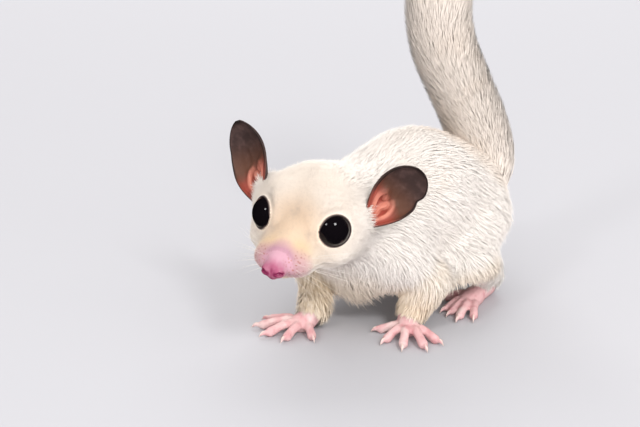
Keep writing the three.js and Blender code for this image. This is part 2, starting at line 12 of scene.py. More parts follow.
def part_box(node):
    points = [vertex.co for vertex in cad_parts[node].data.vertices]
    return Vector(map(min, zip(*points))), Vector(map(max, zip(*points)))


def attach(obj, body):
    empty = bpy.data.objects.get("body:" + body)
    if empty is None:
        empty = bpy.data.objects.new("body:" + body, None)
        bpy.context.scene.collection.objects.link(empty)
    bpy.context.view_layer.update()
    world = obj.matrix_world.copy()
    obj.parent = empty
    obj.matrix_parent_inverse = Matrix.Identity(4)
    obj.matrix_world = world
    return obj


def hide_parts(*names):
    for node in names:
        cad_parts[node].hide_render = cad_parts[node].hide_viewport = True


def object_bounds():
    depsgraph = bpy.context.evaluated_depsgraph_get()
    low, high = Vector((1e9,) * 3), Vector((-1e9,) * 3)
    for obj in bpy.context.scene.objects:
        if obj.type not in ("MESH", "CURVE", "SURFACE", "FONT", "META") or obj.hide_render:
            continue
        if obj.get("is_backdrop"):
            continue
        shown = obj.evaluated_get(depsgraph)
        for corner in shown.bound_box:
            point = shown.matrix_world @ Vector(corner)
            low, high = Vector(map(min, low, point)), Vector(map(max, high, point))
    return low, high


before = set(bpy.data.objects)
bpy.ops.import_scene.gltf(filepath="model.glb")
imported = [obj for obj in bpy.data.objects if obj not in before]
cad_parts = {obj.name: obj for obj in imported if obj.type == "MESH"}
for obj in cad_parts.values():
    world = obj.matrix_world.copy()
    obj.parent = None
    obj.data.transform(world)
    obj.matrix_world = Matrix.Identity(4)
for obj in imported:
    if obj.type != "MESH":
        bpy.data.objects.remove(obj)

bl_info = {
    "name": "Sugar glider",
    "version": (1, 0, 0),
    "blender": (4, 5, 0),
    "location": "3D View > Sidebar > Glider",
    "description": "Skin, coat, eyes, ears and claws of a crouching sugar glider",
    "category": "Object",
}

CAD_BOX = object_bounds()

# ---------------------------------------------------------------- places, in millimetres
MM = 0.001
HEAD_AT = np.array([4.0, 0.0, 38.0])
HEAD_YAW = math.radians(23)
HEAD_PITCH = math.radians(4)
HEAD_ROLL = math.radians(6.5)
HEAD_TURN = np.array(
    Matrix.Rotation(HEAD_YAW, 3, "Z")
    @ Matrix.Rotation(HEAD_PITCH, 3, "X")
    @ Matrix.Rotation(HEAD_ROLL, 3, "Y")
)
EYE_CENTRE = (9.2, 1.6, -0.4)
EYE_LOOK = (0.66, -0.72, 0.2)
EYE_RADIUS = 5.3
LID_TURN = math.radians(54)
EAR_ROOT = {"left": (18.4, 10.3, 2.6), "right": (-16.2, 10.3, 1.1)}
EAR_LINE = {"left": (10.75, 4.5, 13.75), "right": (-10.5, 4.5, 17.5)}
EAR_LENGTH = {"left": 18.5, "right": 21.3}
EAR_HALF_WIDTH = {"left": 7.4, "right": 8.2}
EAR_SUNK = 3.5
EAR_FACE = (0.36, -0.9, 0.1)
EAR_ROOT_HALF_WIDTH = 2.2
EAR_WIDEST_AT = {"left": 0.47, "right": 0.43}
EAR_NOTCH = {"left": 0.9, "right": 0.2}
SIDES = {"left": 1, "right": -1}

HIP = (12, 67, 24)
KNEE = (20.5, 54, 16.5)
ANKLE = (17, 69, 6)
SHOULDER = {"left": (15, 30, 24), "right": (-14.5, 27, 24)}
ELBOW = {"left": (20, 37, 14.5), "right": (-12.5, 23, 13.5)}
WRIST = {"left": (18, 32.6, 5.6), "right": (-3.8, 13.4, 5.6)}
HAND_AT = {"left": (18.2, 30.4, 0), "right": (-3.2, 11, 0)}
HAND_TURN = {"left": 42, "right": -25}
FOOT_AT = {"left": (17.2, 65.5, 0), "right": (-17.2, 65.5, 0)}
FOOT_TURN = {"left": 12, "right": -12}
HAND_DIGITS = (
    ((-2.2, -1.4), -84, 6, 1.15),
    ((-2, -3.4), -36, 7.4, 1.15),
    ((-0.5, -4.2), -6, 9.2, 1.2),
    ((1.2, -4), 20, 10, 1.2),
    ((2.4, -3), 43, 8.6, 1.15),
)
FOOT_DIGITS = (
    ((-1.9, -10.5), -16, 6.6, 0.95),
    ((-0.5, -11), -5, 7.4, 0.95),
    ((1.1, -11), 9, 9.2, 1.15),
    ((2.4, -10), 26, 8.4, 1.1),
)
MEMBRANE_RINGS = 40
MEMBRANE_RADIUS = 3.5
MEMBRANE_FILL = 5.0
MEMBRANE_LINE = {
    "left": (
        (18.5, 38, 10),
        (20, 44, 13.5),
        (22, 51, 16),
        (23.5, 57, 16),
        (21, 62, 13),
        (17.5, 65, 10),
    ),
    "right": (
        (-14, 28, 12),
        (-18, 36, 14.5),
        (-21, 45, 16.5),
        (-23.5, 57, 16),
        (-21, 62, 13),
        (-17.5, 65, 10),
    ),
}
TAIL_LINE = (
    (0, 78, 24),
    (0, 84, 34),
    (0, 80, 48),
    (-0.5, 72.5, 62),
    (-1, 65, 76),
    (-1, 62.5, 90),
    (-0.5, 67, 104),
    (0, 78, 114),
    (0.5, 90, 116),
    (1, 99.5, 110),
)
TAIL_RADIUS = 10.5
TAIL_CORE = 4.6
TAIL_ROOT_SWELL = 5.2


def mirrored(side, xyz):
    return np.array([side * xyz[0], xyz[1], xyz[2]], float)


def unit(v):
    v = np.asarray(v, float)
    return v / np.maximum(np.linalg.norm(v, axis=-1, keepdims=True), 1e-9)


def distance(points, place):
    return np.linalg.norm(points - np.asarray(place), axis=1)


def least_distance(points, places):
    return np.min([distance(points, place) for place in places], axis=0)


def from_head(points):
    """Places in the head's own frame, as places of the whole animal."""
    return np.asarray(points, float) @ HEAD_TURN.T + HEAD_AT


def to_head(points):
    return (np.asarray(points, float) - HEAD_AT) @ HEAD_TURN


def node_centre(name):
    low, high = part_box(name)
    return np.array((low + high) / 2) / MM


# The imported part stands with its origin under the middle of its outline
SHIFT = (node_centre("eye_left") + node_centre("eye_right")) / 2 - from_head(
    [0, EYE_CENTRE[1], EYE_CENTRE[2]]
)


def to_frame(points):
    """Millimetres of the animal's own layout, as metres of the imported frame."""
    return (np.asarray(points, float) + SHIFT) * MM


def from_frame(points):
    return np.asarray(points, float) / MM - SHIFT


# ---------------------------------------------------------------- rounded masses
def egg(centre, radii, turn=0):
    c, r = np.array(centre, float), np.array(radii, float)
    turned = np.array(Matrix.Rotation(math.radians(turn), 3, "Z"))

    def mass(p):
        q = (p - c) @ turned
        k0 = np.linalg.norm(q / r, axis=1)
        k1 = np.linalg.norm(q / r**2, axis=1)
        return k0 * (k0 - 1) / np.maximum(k1, 1e-9)

    return mass


def egg_pair(centre, radii, turn=0):
    """The same egg on either side."""
    return [egg(mirrored(side, centre), radii, side * turn) for side in SIDES.values()]


def limb(start, end, start_radius, end_radius):
    a = np.array(start, float)
    ab = np.array(end, float) - a

    def mass(p):
        t = np.clip((p - a) @ ab / (ab @ ab), 0, 1)
        radius = start_radius + (end_radius - start_radius) * t
        return np.linalg.norm(p - a - t[:, None] * ab, axis=1) - radius

    return mass


def blend(fillet, *masses):
    def mass(p):
        d = masses[0](p)
        for m in masses[1:]:
            e = m(p)
            h = np.maximum(fillet - np.abs(d - e), 0) / fillet
            d = np.minimum(d, e) - h * h * fillet / 4
        return d

    return mass


head_mass = blend(
    3.5,
    egg((0, 10, 0.8), (15, 13.5, 11.6)),
    *egg_pair((9, 4.5, -6), (7, 10.5, 7), -14),
    *egg_pair((13.8, 10.5, 1), (5, 5.5, 6)),
    *egg_pair((6.2, 3.6, 4), (5.4, 6.4, 5.2)),
    limb((0, 0, -3.6), (0, -12.6, -6.4), 6.3, 3.5),
    *egg_pair((4.2, -7.6, -7.6), (4.8, 6.6, 4.4)),
    limb((0, 3, -9.2), (0, -8.8, -10.6), 6.2, 2.5),
)
NOSE_CENTRE = (0, -14.6, -7.0)
NOSE_REACH = 4.6
nose_mass = blend(
    1.5,
    lambda p: head_mass(p) + 0.25,
    egg((0, -15.0, -6.4), (2.5, 3.0, 2.5)),
    *egg_pair((1.8, -16.5, -7.8), (1.65, 2.1, 1.55)),
    egg((0, -16.3, -9.0), (1.2, 1.4, 1.4)),
)
NOSTRIL_STOPS = (((1.15, -18.9, -8.0), 0.42), ((2.4, -18.3, -7.5), 0.5), ((3.5, -16.9, -7.9), 0.22))
nostril_mass = blend(
    0.5,
    *[
        limb(mirrored(side, start), mirrored(side, end), start_radius, end_radius)
        for side in SIDES.values()
        for (start, start_radius), (end, end_radius) in zip(NOSTRIL_STOPS, NOSTRIL_STOPS[1:])
    ],
    limb((0, -18.9, -5.9), (0, -18.2, -10.2), 0.12, 0.3),
)
trunk_mass = blend(
    9,
    limb((2, 12, 38), (0, 30, 31), 13.2, 16),
    egg((0, 31, 26), (16.8, 17, 20.5)),
    egg((0, 51, 30.5), (21, 25, 23.5)),
    egg((0, 70, 26), (19, 17.5, 18.5)),
    egg((13.5, 32, 22), (7, 9, 11)),
    egg((-12.5, 27, 22), (7, 9, 11)),
)
limb_masses = [
    part
    for side, sign in SIDES.items()
    for part in (
        limb(SHOULDER[side], ELBOW[side], 7.2, 6.2),
        limb(ELBOW[side], WRIST[side], 5.9, 4),
        limb(mirrored(sign, HIP), mirrored(sign, KNEE), 12, 7.6),
        limb(mirrored(sign, KNEE), mirrored(sign, ANKLE), 6.6, 3.3),
    )
]


def membrane_lines():
    """The fold's edge along each flank, and what fills it in towards the body."""
    for line in MEMBRANE_LINE.values():
        edge = np.array(line, float)
        yield edge, MEMBRANE_RADIUS
        yield edge * [0.72, 1, 1] + [0, 0, 3.5], MEMBRANE_FILL


membrane_masses = [
    limb(start, end, radius, radius)
    for line, radius in membrane_lines()
    for start, end in zip(line, line[1:])
]
trunk_and_head = blend(6, trunk_mass, lambda p: head_mass(to_head(p)))
body_mass = blend(5, blend(4, trunk_and_head, *limb_masses), *membrane_masses)


def slope(mass, p, step=0.08):
    """The outward direction of a mass's surface."""
    out = np.empty_like(p)
    for axis in range(3):
        offset = np.zeros(3)
        offset[axis] = step
        out[:, axis] = (mass(p + offset) - mass(p - offset)) / (2 * step)
    return out


def marched(mass, origins, ways, far):
    """Where lines that run in from far out along ways first meet a mass's surface."""
    reach = np.full(len(origins), float(far))
    for _ in range(60):
        reach -= 0.8 * mass(origins + ways * reach[:, None])
    return origins + ways * reach[:, None]


# ---------------------------------------------------------------- the tail's line
def catmull(points, count):
    """Evenly spaced points on a smooth curve through the given ones."""
    p = np.array(points, float)
    p = np.vstack([2 * p[0] - p[1], p, 2 * p[-1] - p[-2]])
    fine = []
    for i in range(1, len(p) - 2):
        t = np.linspace(0, 1, 40, endpoint=False)[:, None]
        a, b, c, d = p[i - 1 : i + 3]
        fine.append(
            0.5
            * (
                2 * b
                + (c - a) * t
                + (2 * a - 5 * b + 4 * c - d) * t**2
                + (3 * b - a - 3 * c + d) * t**3
            )
        )
    fine = np.vstack([*fine, p[-2]])
    along = np.r_[0, np.cumsum(np.linalg.norm(np.diff(fine, axis=0), axis=1))]
    even = np.linspace(0, along[-1], count)
    return np.stack([np.interp(even, along, fine[:, k]) for k in range(3)], 1), along[-1]


TAIL_POINTS, TAIL_LENGTH = catmull(TAIL_LINE, 160)
TAIL_AXIS = unit(np.gradient(TAIL_POINTS, axis=0))
TAIL_SIDE = unit(np.cross(TAIL_AXIS, [1.0, 0, 0]))
TAIL_TOP = np.cross(TAIL_SIDE, TAIL_AXIS)


def tail_place(d, radius, angle):
    """Points round the tail at distances d from its root, with their outward direction."""
    share = np.clip(d / TAIL_LENGTH, 0, 1) * (len(TAIL_POINTS) - 1)
    i = np.clip(share.astype(int), 0, len(TAIL_POINTS) - 2)
    t = (share - i)[..., None]
    pick = lambda table: table[i] * (1 - t) + table[i + 1] * t
    beyond = np.maximum(d - TAIL_LENGTH, 0)[..., None]
    outward = pick(TAIL_SIDE) * np.cos(angle)[..., None] + pick(TAIL_TOP) * np.sin(angle)[..., None]
    at = pick(TAIL_POINTS) + beyond * TAIL_AXIS[-1]
    return at + outward * radius[..., None], unit(outward)


def tail_core_radius(d):
    tip = np.clip((TAIL_LENGTH * 0.95 - d) / 22, 0.3, 1)
    return TAIL_CORE * tip + TAIL_ROOT_SWELL * np.maximum(0, 1 - d / 26) ** 1.5


def tail_radius(d):
    """The hair's reach from the tail's middle, which closes over the tip."""
    swell = np.minimum(1, 0.9 + d / 150)
    return TAIL_RADIUS * swell * np.clip((TAIL_LENGTH + 1.5 - d) / 20, 0.0, 1) ** 0.6


# ---------------------------------------------------------------- meshes
def linked(name, data):
    """A new object that holds data, in the scene's collection."""
    obj = bpy.data.objects.new(name, data)
    bpy.context.collection.objects.link(obj)
    return obj


def new_object(name, points, faces):
    """A mesh object from places in the animal's layout, in millimetres."""
    mesh = bpy.data.meshes.new(name)
    mesh.from_pydata(to_frame(points).tolist(), [], [tuple(map(int, face)) for face in faces])
    mesh.validate()
    mesh.update()
    mesh.shade_smooth()
    return linked(name, mesh)


def skin_over(rows):
    """Closes rings of points, given as an array of rings, with a pole at each end."""
    rings, sides, _ = rows.shape
    points = np.vstack([rows[0].mean(0), rows.reshape(-1, 3), rows[-1].mean(0)])
    at = lambda ring, side: 1 + ring * sides + side % sides
    last = len(points) - 1
    faces = []
    for s in range(sides):
        faces.append((0, at(0, s + 1), at(0, s)))
        faces.append((last, at(rings - 1, s), at(rings - 1, s + 1)))
        faces += [
            (at(r, s), at(r, s + 1), at(r + 1, s + 1), at(r + 1, s)) for r in range(rings - 1)
        ]
    return points, faces


def tube_rows(line, radius, sides):
    """Rings round a line of points."""
    along = unit(np.gradient(line, axis=0))
    side = unit(np.cross(along, [0.3, 0.2, 1.0]))
    top = np.cross(side, along)
    angle = np.linspace(0, 2 * np.pi, sides, endpoint=False)[None, :, None]
    ring = side[:, None] * np.cos(angle) + top[:, None] * np.sin(angle)
    return line[:, None] + ring * radius[:, None, None]


def evaluated(obj, *modifiers):
    """Adds modifiers, given as (type, settings), and applies them."""
    for kind, settings in modifiers:
        modifier = obj.modifiers.new(kind, kind)
        for key, value in settings.items():
            setattr(modifier, key, value)
    graph = bpy.context.evaluated_depsgraph_get()
    mesh = bpy.data.meshes.new_from_object(obj.evaluated_get(graph))
    obj.modifiers.clear()
    old, obj.data = obj.data, mesh
    bpy.data.meshes.remove(old)
    return obj


def vertex_arrays(mesh):
    co = np.empty(len(mesh.vertices) * 3, np.float32)
    mesh.vertices.foreach_get("co", co)
    normal = np.empty(len(mesh.vertices) * 3, np.float32)
    mesh.vertices.foreach_get("normal", normal)
    return from_frame(co.reshape(-1, 3)), normal.reshape(-1, 3).astype(float)


def triangle_arrays(mesh):
    """The vertices, and the loops, of each of a mesh's triangles."""
    mesh.calc_loop_triangles()
    tables = []
    for corners in ("vertices", "loops"):
        table = np.empty(len(mesh.loop_triangles) * 3, np.int32)
        mesh.loop_triangles.foreach_get(corners, table)
        tables.append(table.reshape(-1, 3))
    return tables


def joined(parts):
    """The points and the faces of several (points, faces) parts as those of one."""
    points, faces, start = [], [], 0
    for part_points, part_faces in parts:
        points.append(part_points)
        faces += [tuple(int(i) + start for i in face) for face in part_faces]
        start += len(part_points)
    return np.vstack(points), faces


def move_vertices(mesh, points):
    mesh.vertices.foreach_set("co", to_frame(points).astype(np.float32).ravel())
    mesh.update()


def mark_vertices(mesh, name, values):
    """Stores a number for each vertex, that materials read by its name."""
    mark = mesh.attributes.new(name, "FLOAT", "POINT")
    mark.data.foreach_set("value", np.asarray(values, np.float32))


def neighbours_mean(mesh, rounds, *values):
    """Evens out values over a mesh, a few rounds of meeting their neighbours."""
    edges = np.empty(len(mesh.edges) * 2, np.int32)
    mesh.edges.foreach_get("vertices", edges)
    a, b = edges.reshape(-1, 2).T
    total = len(mesh.vertices)
    count = np.maximum(np.bincount(a, minlength=total) + np.bincount(b, minlength=total), 1)
    out = []
    for value in values:
        columns = []
        for v in np.atleast_2d(value.astype(float).T):
            for _ in range(rounds):
                met = np.bincount(a, v[b], total) + np.bincount(b, v[a], total)
                v = 0.5 * v + 0.5 * met / count
            columns.append(v)
        out.append(columns[0] if value.ndim == 1 else np.stack(columns, 1))
    return out


def smoothstep(low, high, x):
    t = np.clip((x - low) / (high - low), 0, 1)
    return t * t * (3 - 2 * t)


def finish_piece(obj, material, slot, *nodes):
    obj.data.materials.clear()
    obj.data.materials.append(material)
    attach(obj, "root")
    if nodes:
        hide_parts(*nodes)
    return obj


# ---------------------------------------------------------------- shader maths
class Value:
    """A shader socket that is worked with as a number is."""

    def __init__(self, shader, socket):
        self.shader, self.socket = shader, socket

    def math(self, operation, *inputs):
        return self.shader.add("ShaderNodeMath", {"operation": operation}, *inputs)

    def __add__(self, other):
        return self.math("ADD", self, other)

    def __sub__(self, other):
        return self.math("SUBTRACT", self, other)

    def __mul__(self, other):
        return self.math("MULTIPLY", self, other)

    def __truediv__(self, other):
        return self.math("DIVIDE", self, other)

    def __pow__(self, other):
        return self.math("POWER", self, other)

    __radd__ = __add__
    __rmul__ = __mul__

    def __rsub__(self, other):
        return self.math("SUBTRACT", other, self)

    def __rtruediv__(self, other):
        return self.math("DIVIDE", other, self)

    def __rpow__(self, other):
        return self.math("POWER", other, self)

    def clamp(self):
        settings = {"operation": "ADD", "use_clamp": True}
        return self.shader.add("ShaderNodeMath", settings, self, 0.0)

    def step(self, low, high):
        """0 below low, 1 above high and smooth between."""
        settings = {"interpolation_type": "SMOOTHSTEP"}
        return self.shader.add("ShaderNodeMapRange", settings, self, low, high, 0.0, 1.0)


class Shader:
    """A material and what is added to its nodes."""

    def __init__(self, name, **constants):
        self.material = bpy.data.materials.new(name)
        self.material.use_nodes = True
        self.tree = self.material.node_tree
        self.surface = self.tree.nodes["Principled BSDF"]
        for key, value in constants.items():
            socket = self.surface.inputs[key.replace("_", " ")]
            socket.default_value = (*value, 1) if socket.type == "RGBA" else value

    def link(self, value, socket):
        if isinstance(value, Value):
            self.tree.links.new(value.socket, socket)
        elif socket.type == "RGBA" and not isinstance(value, float) and len(value) == 3:
            socket.default_value = (*value, 1)
        else:
            socket.default_value = value

    def add(self, kind, settings, *inputs, output=0, **named):
        node = self.tree.nodes.new(kind)
        for key, value in settings.items():
            setattr(node, key, value)
        for value, socket in zip(inputs, node.inputs):
            self.link(value, socket)
        for key, value in named.items():
            self.link(value, node.inputs[key.replace("_", " ")])
        return Value(self, node.outputs[output])

    def place(self):
        return self.add("ShaderNodeTexCoord", {}, output=3)

    def vector(self, operation, a, b=None, output=0):
        inputs = (a,) if b is None else (a, b)
        return self.add("ShaderNodeVectorMath", {"operation": operation}, *inputs, output=output)

    def near(self, centre, radius, soft):
        """1 within radius mm of a place, falling to 0 over soft mm."""
        away = self.vector("DISTANCE", self.place(), tuple(to_frame(centre)), output=1)
        return 1.0 - away.step(radius * MM, (radius + soft) * MM)

    def near_line(self, start, end, radius, soft):
        """1 within radius mm of a line between two places, falling to 0 over soft mm."""
        start, end = to_frame(start), to_frame(end)
        way = end - start
        from_start = self.vector("SUBTRACT", self.place(), tuple(start))
        along = self.vector("DOT_PRODUCT", from_start, tuple(way / (way @ way)), output=1)
        settings = {"operation": "SCALE"}
        spot = self.add("ShaderNodeVectorMath", settings, tuple(way), Scale=along.clamp())
        away = self.vector("DISTANCE", from_start, spot, output=1)
        return 1.0 - away.step(radius * MM, (radius + soft) * MM)

    def mix(self, a, b, factor):
        node = self.tree.nodes.new("ShaderNodeMix")
        node.data_type = "RGBA"
        for value, key in ((factor, 0), (a, 6), (b, 7)):
            self.link(value, node.inputs[key])
        return Value(self, node.outputs[2])

    def noise(self, scale, detail=2.0, roughness=0.5):
        grain = {"Scale": float(scale), "Detail": detail, "Roughness": roughness}
        return self.add("ShaderNodeTexNoise", {}, Vector=self.place(), **grain)

    def attribute(self, name):
        return self.add("ShaderNodeAttribute", {"attribute_name": name}, output=2)

    def feed(self, **links):
        for key, value in links.items():
            self.link(value, self.surface.inputs[key.replace("_", " ")])
        return self.material

    def bump(self, height, distance, strength=1.0):
        return self.add(
            "ShaderNodeBump", {}, Strength=strength, Distance=distance * MM, Height=height
        )


# ---------------------------------------------------------------- sizes and colours
def length(name, description, default):
    return FloatProperty(name=name, description=description, default=default, unit="LENGTH")


def colour(name, description, default):
    return FloatVectorProperty(
        name=name, description=description, default=default, subtype="COLOR", size=3, min=0, max=1
    )


class GliderSizes(bpy.types.PropertyGroup):
    voxel: length("Skin grain", "Size of the grid that the skin is drawn on", 0.00042)
    body_coat: length("Body coat", "Length of the tufts on the back", 0.0048)
    face_coat: length("Face coat", "Length of the tufts on the forehead", 0.003)
    body_depth: length("Body coat depth", "How far the coat stands off the skin", 0.0022)
    face_depth: length("Face coat depth", "How far the coat stands off the crown", 0.0015)
    tail_hair: length("Tail hair", "Length of the hair along the tail", 0.014)
    under_tufts: IntProperty(name="Under tufts", description="Short body tufts", default=100000)
    over_tufts: IntProperty(name="Over tufts", description="Long body tufts", default=38000)
    face_tufts: IntProperty(name="Face tufts", description="Tufts over the head", default=62000)
    tail_tufts: IntProperty(name="Tail tufts", description="Tufts on the tail", default=26000)
    whisker: length("Whisker length", "Length of the longest whiskers", 0.019)
    camera_far: length("Camera distance", "From the head to the camera", 0.48)
    floor: length("Floor", "Side of the floor", 6.0)
    lens: FloatProperty(name="Lens", description="Focal length", default=97.2, unit="CAMERA")


class GliderColours(bpy.types.PropertyGroup):
    cream: colour("Cream", "Fur of the back and flanks", (0.94, 0.87, 0.81))
    face: colour("Face", "Fur of the head", (0.89, 0.78, 0.68))
    # Amber: the forearms' own stained fur; laid under the chest and along the low rear flanks it is
    # painted shade
    amber_and_shade: colour("Amber", "Tinted fur of the limbs and chest", (0.86, 0.62, 0.34))
    peach: colour("Peach", "Fur of the bridge of the nose", (0.90, 0.66, 0.46))
    stripe: colour("Stripe", "Faint line down the forehead and back", (0.46, 0.36, 0.30))
    muzzle: colour("Muzzle", "Bare skin round the nose", (0.62, 0.34, 0.42))
    freckle: colour("Freckle", "Freckles of the whisker pads", (0.50, 0.20, 0.17))
    pad: colour("Pad", "Skin of the nose", (0.40, 0.085, 0.17))
    hand: colour("Hand", "Skin of the hands and feet", (0.74, 0.44, 0.44))
    hand_shade: colour("Hand shade", "Deeper pink of the hands and feet", (0.58, 0.22, 0.24))
    # Nostril: painted shade inside the nostril slits and along the groove between them
    nostril: colour("Nostril", "Inside the nostrils", (0.24, 0.02, 0.08))
    ear: colour("Ear", "Skin of the ears", (0.052, 0.030, 0.027))
    ear_glow: colour("Ear glow", "Warm brown where light comes through", (0.14, 0.055, 0.03))
    # Ear fold: the folds' own pale pink, laid on by their height, so it is also painted light on
    # the raised folds and leaves the hollows between them as painted shade
    ear_fold: colour("Ear fold", "Pale folds in the ears", (0.66, 0.24, 0.17))
    ear_root: colour("Ear root", "Inner root of the ears", (0.34, 0.06, 0.04))
    lid: colour("Lid", "Rim of the lids", (0.035, 0.02, 0.02))
    eye: colour("Eye", "The eye", (0.004, 0.003, 0.004))
    claw: colour("Claw", "The claws", (0.78, 0.62, 0.55))
    floor: colour("Floor", "The floor", (0.50, 0.495, 0.52))


def sizes():
    return bpy.context.scene.glider_sizes


def colours():
    return bpy.context.scene.glider_colours


def tone(name, share=1.0):
    """A colour, made darker or lighter by a share."""
    return tuple(c * share for c in getattr(colours(), name))


# ---------------------------------------------------------------- markings
NOSE_TIP = from_head([0, -17.6, -7.4])
MUZZLE_TOP = from_head([0, -13.6, -3.4])
BRIDGE = from_head([0, -8.5, 0.6])
WHISKER_PAD = {name: from_head([side * 4.4, -12, -7.4]) for name, side in SIDES.items()}
CROWN = from_head([0, 9, 12.6])
BROW = from_head([0, -3.2, 4.4])
EYE_AT = {name: from_head(mirrored(side, EYE_CENTRE)) for name, side in SIDES.items()}
INNER_CORNER = {name: from_head([side * 5.6, -5, -0.6]) for name, side in SIDES.items()}


def markings(shader, grain):
    """The tone of each mark on the fur and its share there, from the first laid to the last. The
    amber under the chest and along the low flanks is painted shade.
    """
    patches = shader.noise(60.0, 2.0)
    yield "face", shader.near(from_head([0, 2, 0]), 12.0, 11.0)
    yield "peach", patches.step(0.5, 0.72) * 0.12
    # The forearms' own amber fur
    for name in SIDES:
        yield "amber_and_shade", shader.near_line(ELBOW[name], WRIST[name], 2.5, 6.0) * 0.7
    # Painted shade: amber under the chest, where the underside lies in shade
    yield "amber_and_shade", shader.near((0, 27, 6), 9.0, 13.0) * 0.32
    # Painted shade: amber along each flank's low edge, under the fold of the membrane
    for side in SIDES.values():
        fold = (mirrored(side, (22, 42, 9)), mirrored(side, (27, 58, 12)))
        yield "amber_and_shade", shader.near_line(*fold, 2.0, 6.0) * 0.3
    yield "peach", shader.near(BRIDGE, 4.0, 11.0) * (0.6 + patches * 0.5)
    line = shader.near_line(BROW, CROWN, 0.3, 2.4)
    yield "stripe", line * grain.step(0.2, 0.75) * 0.36
    yield "stripe", shader.near_line((0, 20, 53), (0, 62, 54), 1.5, 5.0) * 0.16
    for corner in INNER_CORNER.values():
        yield "stripe", shader.near(corner, 0.5, 2.0) * grain.step(0.2, 0.75) * 0.35
    yield "peach", shader.near(NOSE_TIP, 7.0, 6.0) * 0.7
    for side in SIDES.values():
        stain = shader.near(from_head([side * 4.6, -9.4, -3.6]), 1.2, 3.4)
        yield "amber_and_shade", stain * patches.step(0.3, 0.6) * 0.4
    pad, top = shader.near(NOSE_TIP, 4.2, 4.6), shader.near(MUZZLE_TOP, 2.4, 3.6)
    yield "muzzle", (pad * 0.9 + top * 0.7).clamp()
    cells = shader.add("ShaderNodeTexVoronoi", {}, Vector=shader.place(), Scale=1150.0)
    spots = 1.0 - cells.step(0.2, 0.42)
    for centre in WHISKER_PAD.values():
        cheek = shader.near(centre, 2.4, 3.6)
        yield "muzzle", cheek * 0.7
        yield "freckle", cheek * spots * 0.8
    yield "peach", shader.near_line((0, 82, 40), (0, 63, 92), 16.0, 6.0) * 0.22
    yield "stripe", shader.noise(1400.0, 3.0, 0.6).step(0.45, 0.8) * 0.2


def coat_colour(shader):
    """The colour that the skin and the coat share."""
    grain = shader.noise(520.0, 3.0, 0.6)
    fur = shader.mix(tone("cream"), tone("cream", 0.93), grain.step(0.45, 0.75))
    for name, share in markings(shader, grain):
        fur = shader.mix(fur, tone(name), share)
    return fur


def coat_material(name):
    sheen = {"Sheen_Weight": 0.2, "Sheen_Roughness": 0.4}
    shader = Shader(name, Roughness=0.75, Specular_IOR_Level=0.2, **sheen)
    return shader.feed(Base_Color=coat_colour(shader))


def skin_material():
    shader = Shader("glider_skin", Roughness=0.55, Specular_IOR_Level=0.35)
    bare = shader.attribute("bare")
    blush, pale = (shader.noise(*grain).step(0.45, 0.7) for grain in ((330.0, 3.0), (150.0, 2.0)))
    flesh = shader.mix(tone("hand"), tone("hand_shade"), blush * 0.6)
    flesh = shader.mix(flesh, tone("cream"), pale * 0.4)
    surface = shader.mix(coat_colour(shader), flesh, bare)
    wrinkles = shader.noise(1400.0, 4.0, 0.6)
    return shader.feed(Base_Color=surface, Normal=shader.bump(wrinkles, 0.12, 0.5))


# ---------------------------------------------------------------- skin
# The nodes that the skin takes the place of, and those that it is drawn over as they are
REPLACED = [
    name
    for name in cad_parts
    if not name.startswith(("eye_", "ear_")) and name != "nose"
]
FLESH = [name for name in REPLACED if not name.startswith(("tail_", "membrane_"))]
GROW = 0.36
COAT_FREE = ("hand_", "foot_")


def tail_core_rows(sides=20, rings=60):
    d = np.repeat(np.linspace(2, TAIL_LENGTH * 0.95, rings), sides)
    angle = np.tile(np.linspace(0, 2 * np.pi, sides, endpoint=False), rings)
    points, _ = tail_place(d, tail_core_radius(d), angle)
    return points.reshape(rings, sides, 3)


def grown_node(name):
    """A flesh node's points, moved out a little so that the nodes meet, and its triangles."""
    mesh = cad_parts[name].data
    co, tri = vertex_arrays(mesh)[0], triangle_arrays(mesh)[0]
    _, first, merged = np.unique(np.round(co, 3), axis=0, return_index=True, return_inverse=True)
    co, tri = co[first], merged.ravel()[tri]
    across = np.cross(co[tri[:, 1]] - co[tri[:, 0]], co[tri[:, 2]] - co[tri[:, 0]])
    normal = np.zeros_like(co)
    for corner in range(3):
        np.add.at(normal, tri[:, corner], across)
    return co + unit(normal) * GROW, tri


def flesh_object():
    """The flesh nodes, the tail's core and the membrane's edges as one object."""
    parts = [*map(grown_node, FLESH), skin_over(tail_core_rows())]
    for line, radius in membrane_lines():
        middle, _ = catmull(line, MEMBRANE_RINGS)
        parts.append(skin_over(tube_rows(middle, np.full(MEMBRANE_RINGS, radius), 20)))
    return new_object("skin", *joined(parts))


def flesh_finder():
    """A search tree over the flesh nodes and the tail's core, and whose each face is."""
    meshes = [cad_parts[name].data for name in FLESH]
    parts = [(vertex_arrays(mesh)[0], triangle_arrays(mesh)[0]) for mesh in meshes]
    parts.append(skin_over(tail_core_rows(12, 30)))
    owner = np.repeat(np.arange(len(parts)), [len(faces) for _, faces in parts])
    points, faces = joined(parts)
    return BVHTree.FromPolygons(points.tolist(), faces), owner


DEPTH_SHARE = {"head": 0, "neck": 0.65, "upper_arm": 0.75, "forearm": 0.55, "shank": 0.6}
state = {}


def depth_share(name):
    """How deep the coat is on a node, as a share of its depth on the back."""
    if name == "tail" or name.startswith(COAT_FREE):
        return 0.0
    return DEPTH_SHARE.get(name.removesuffix("_left").removesuffix("_right"), 1.0)


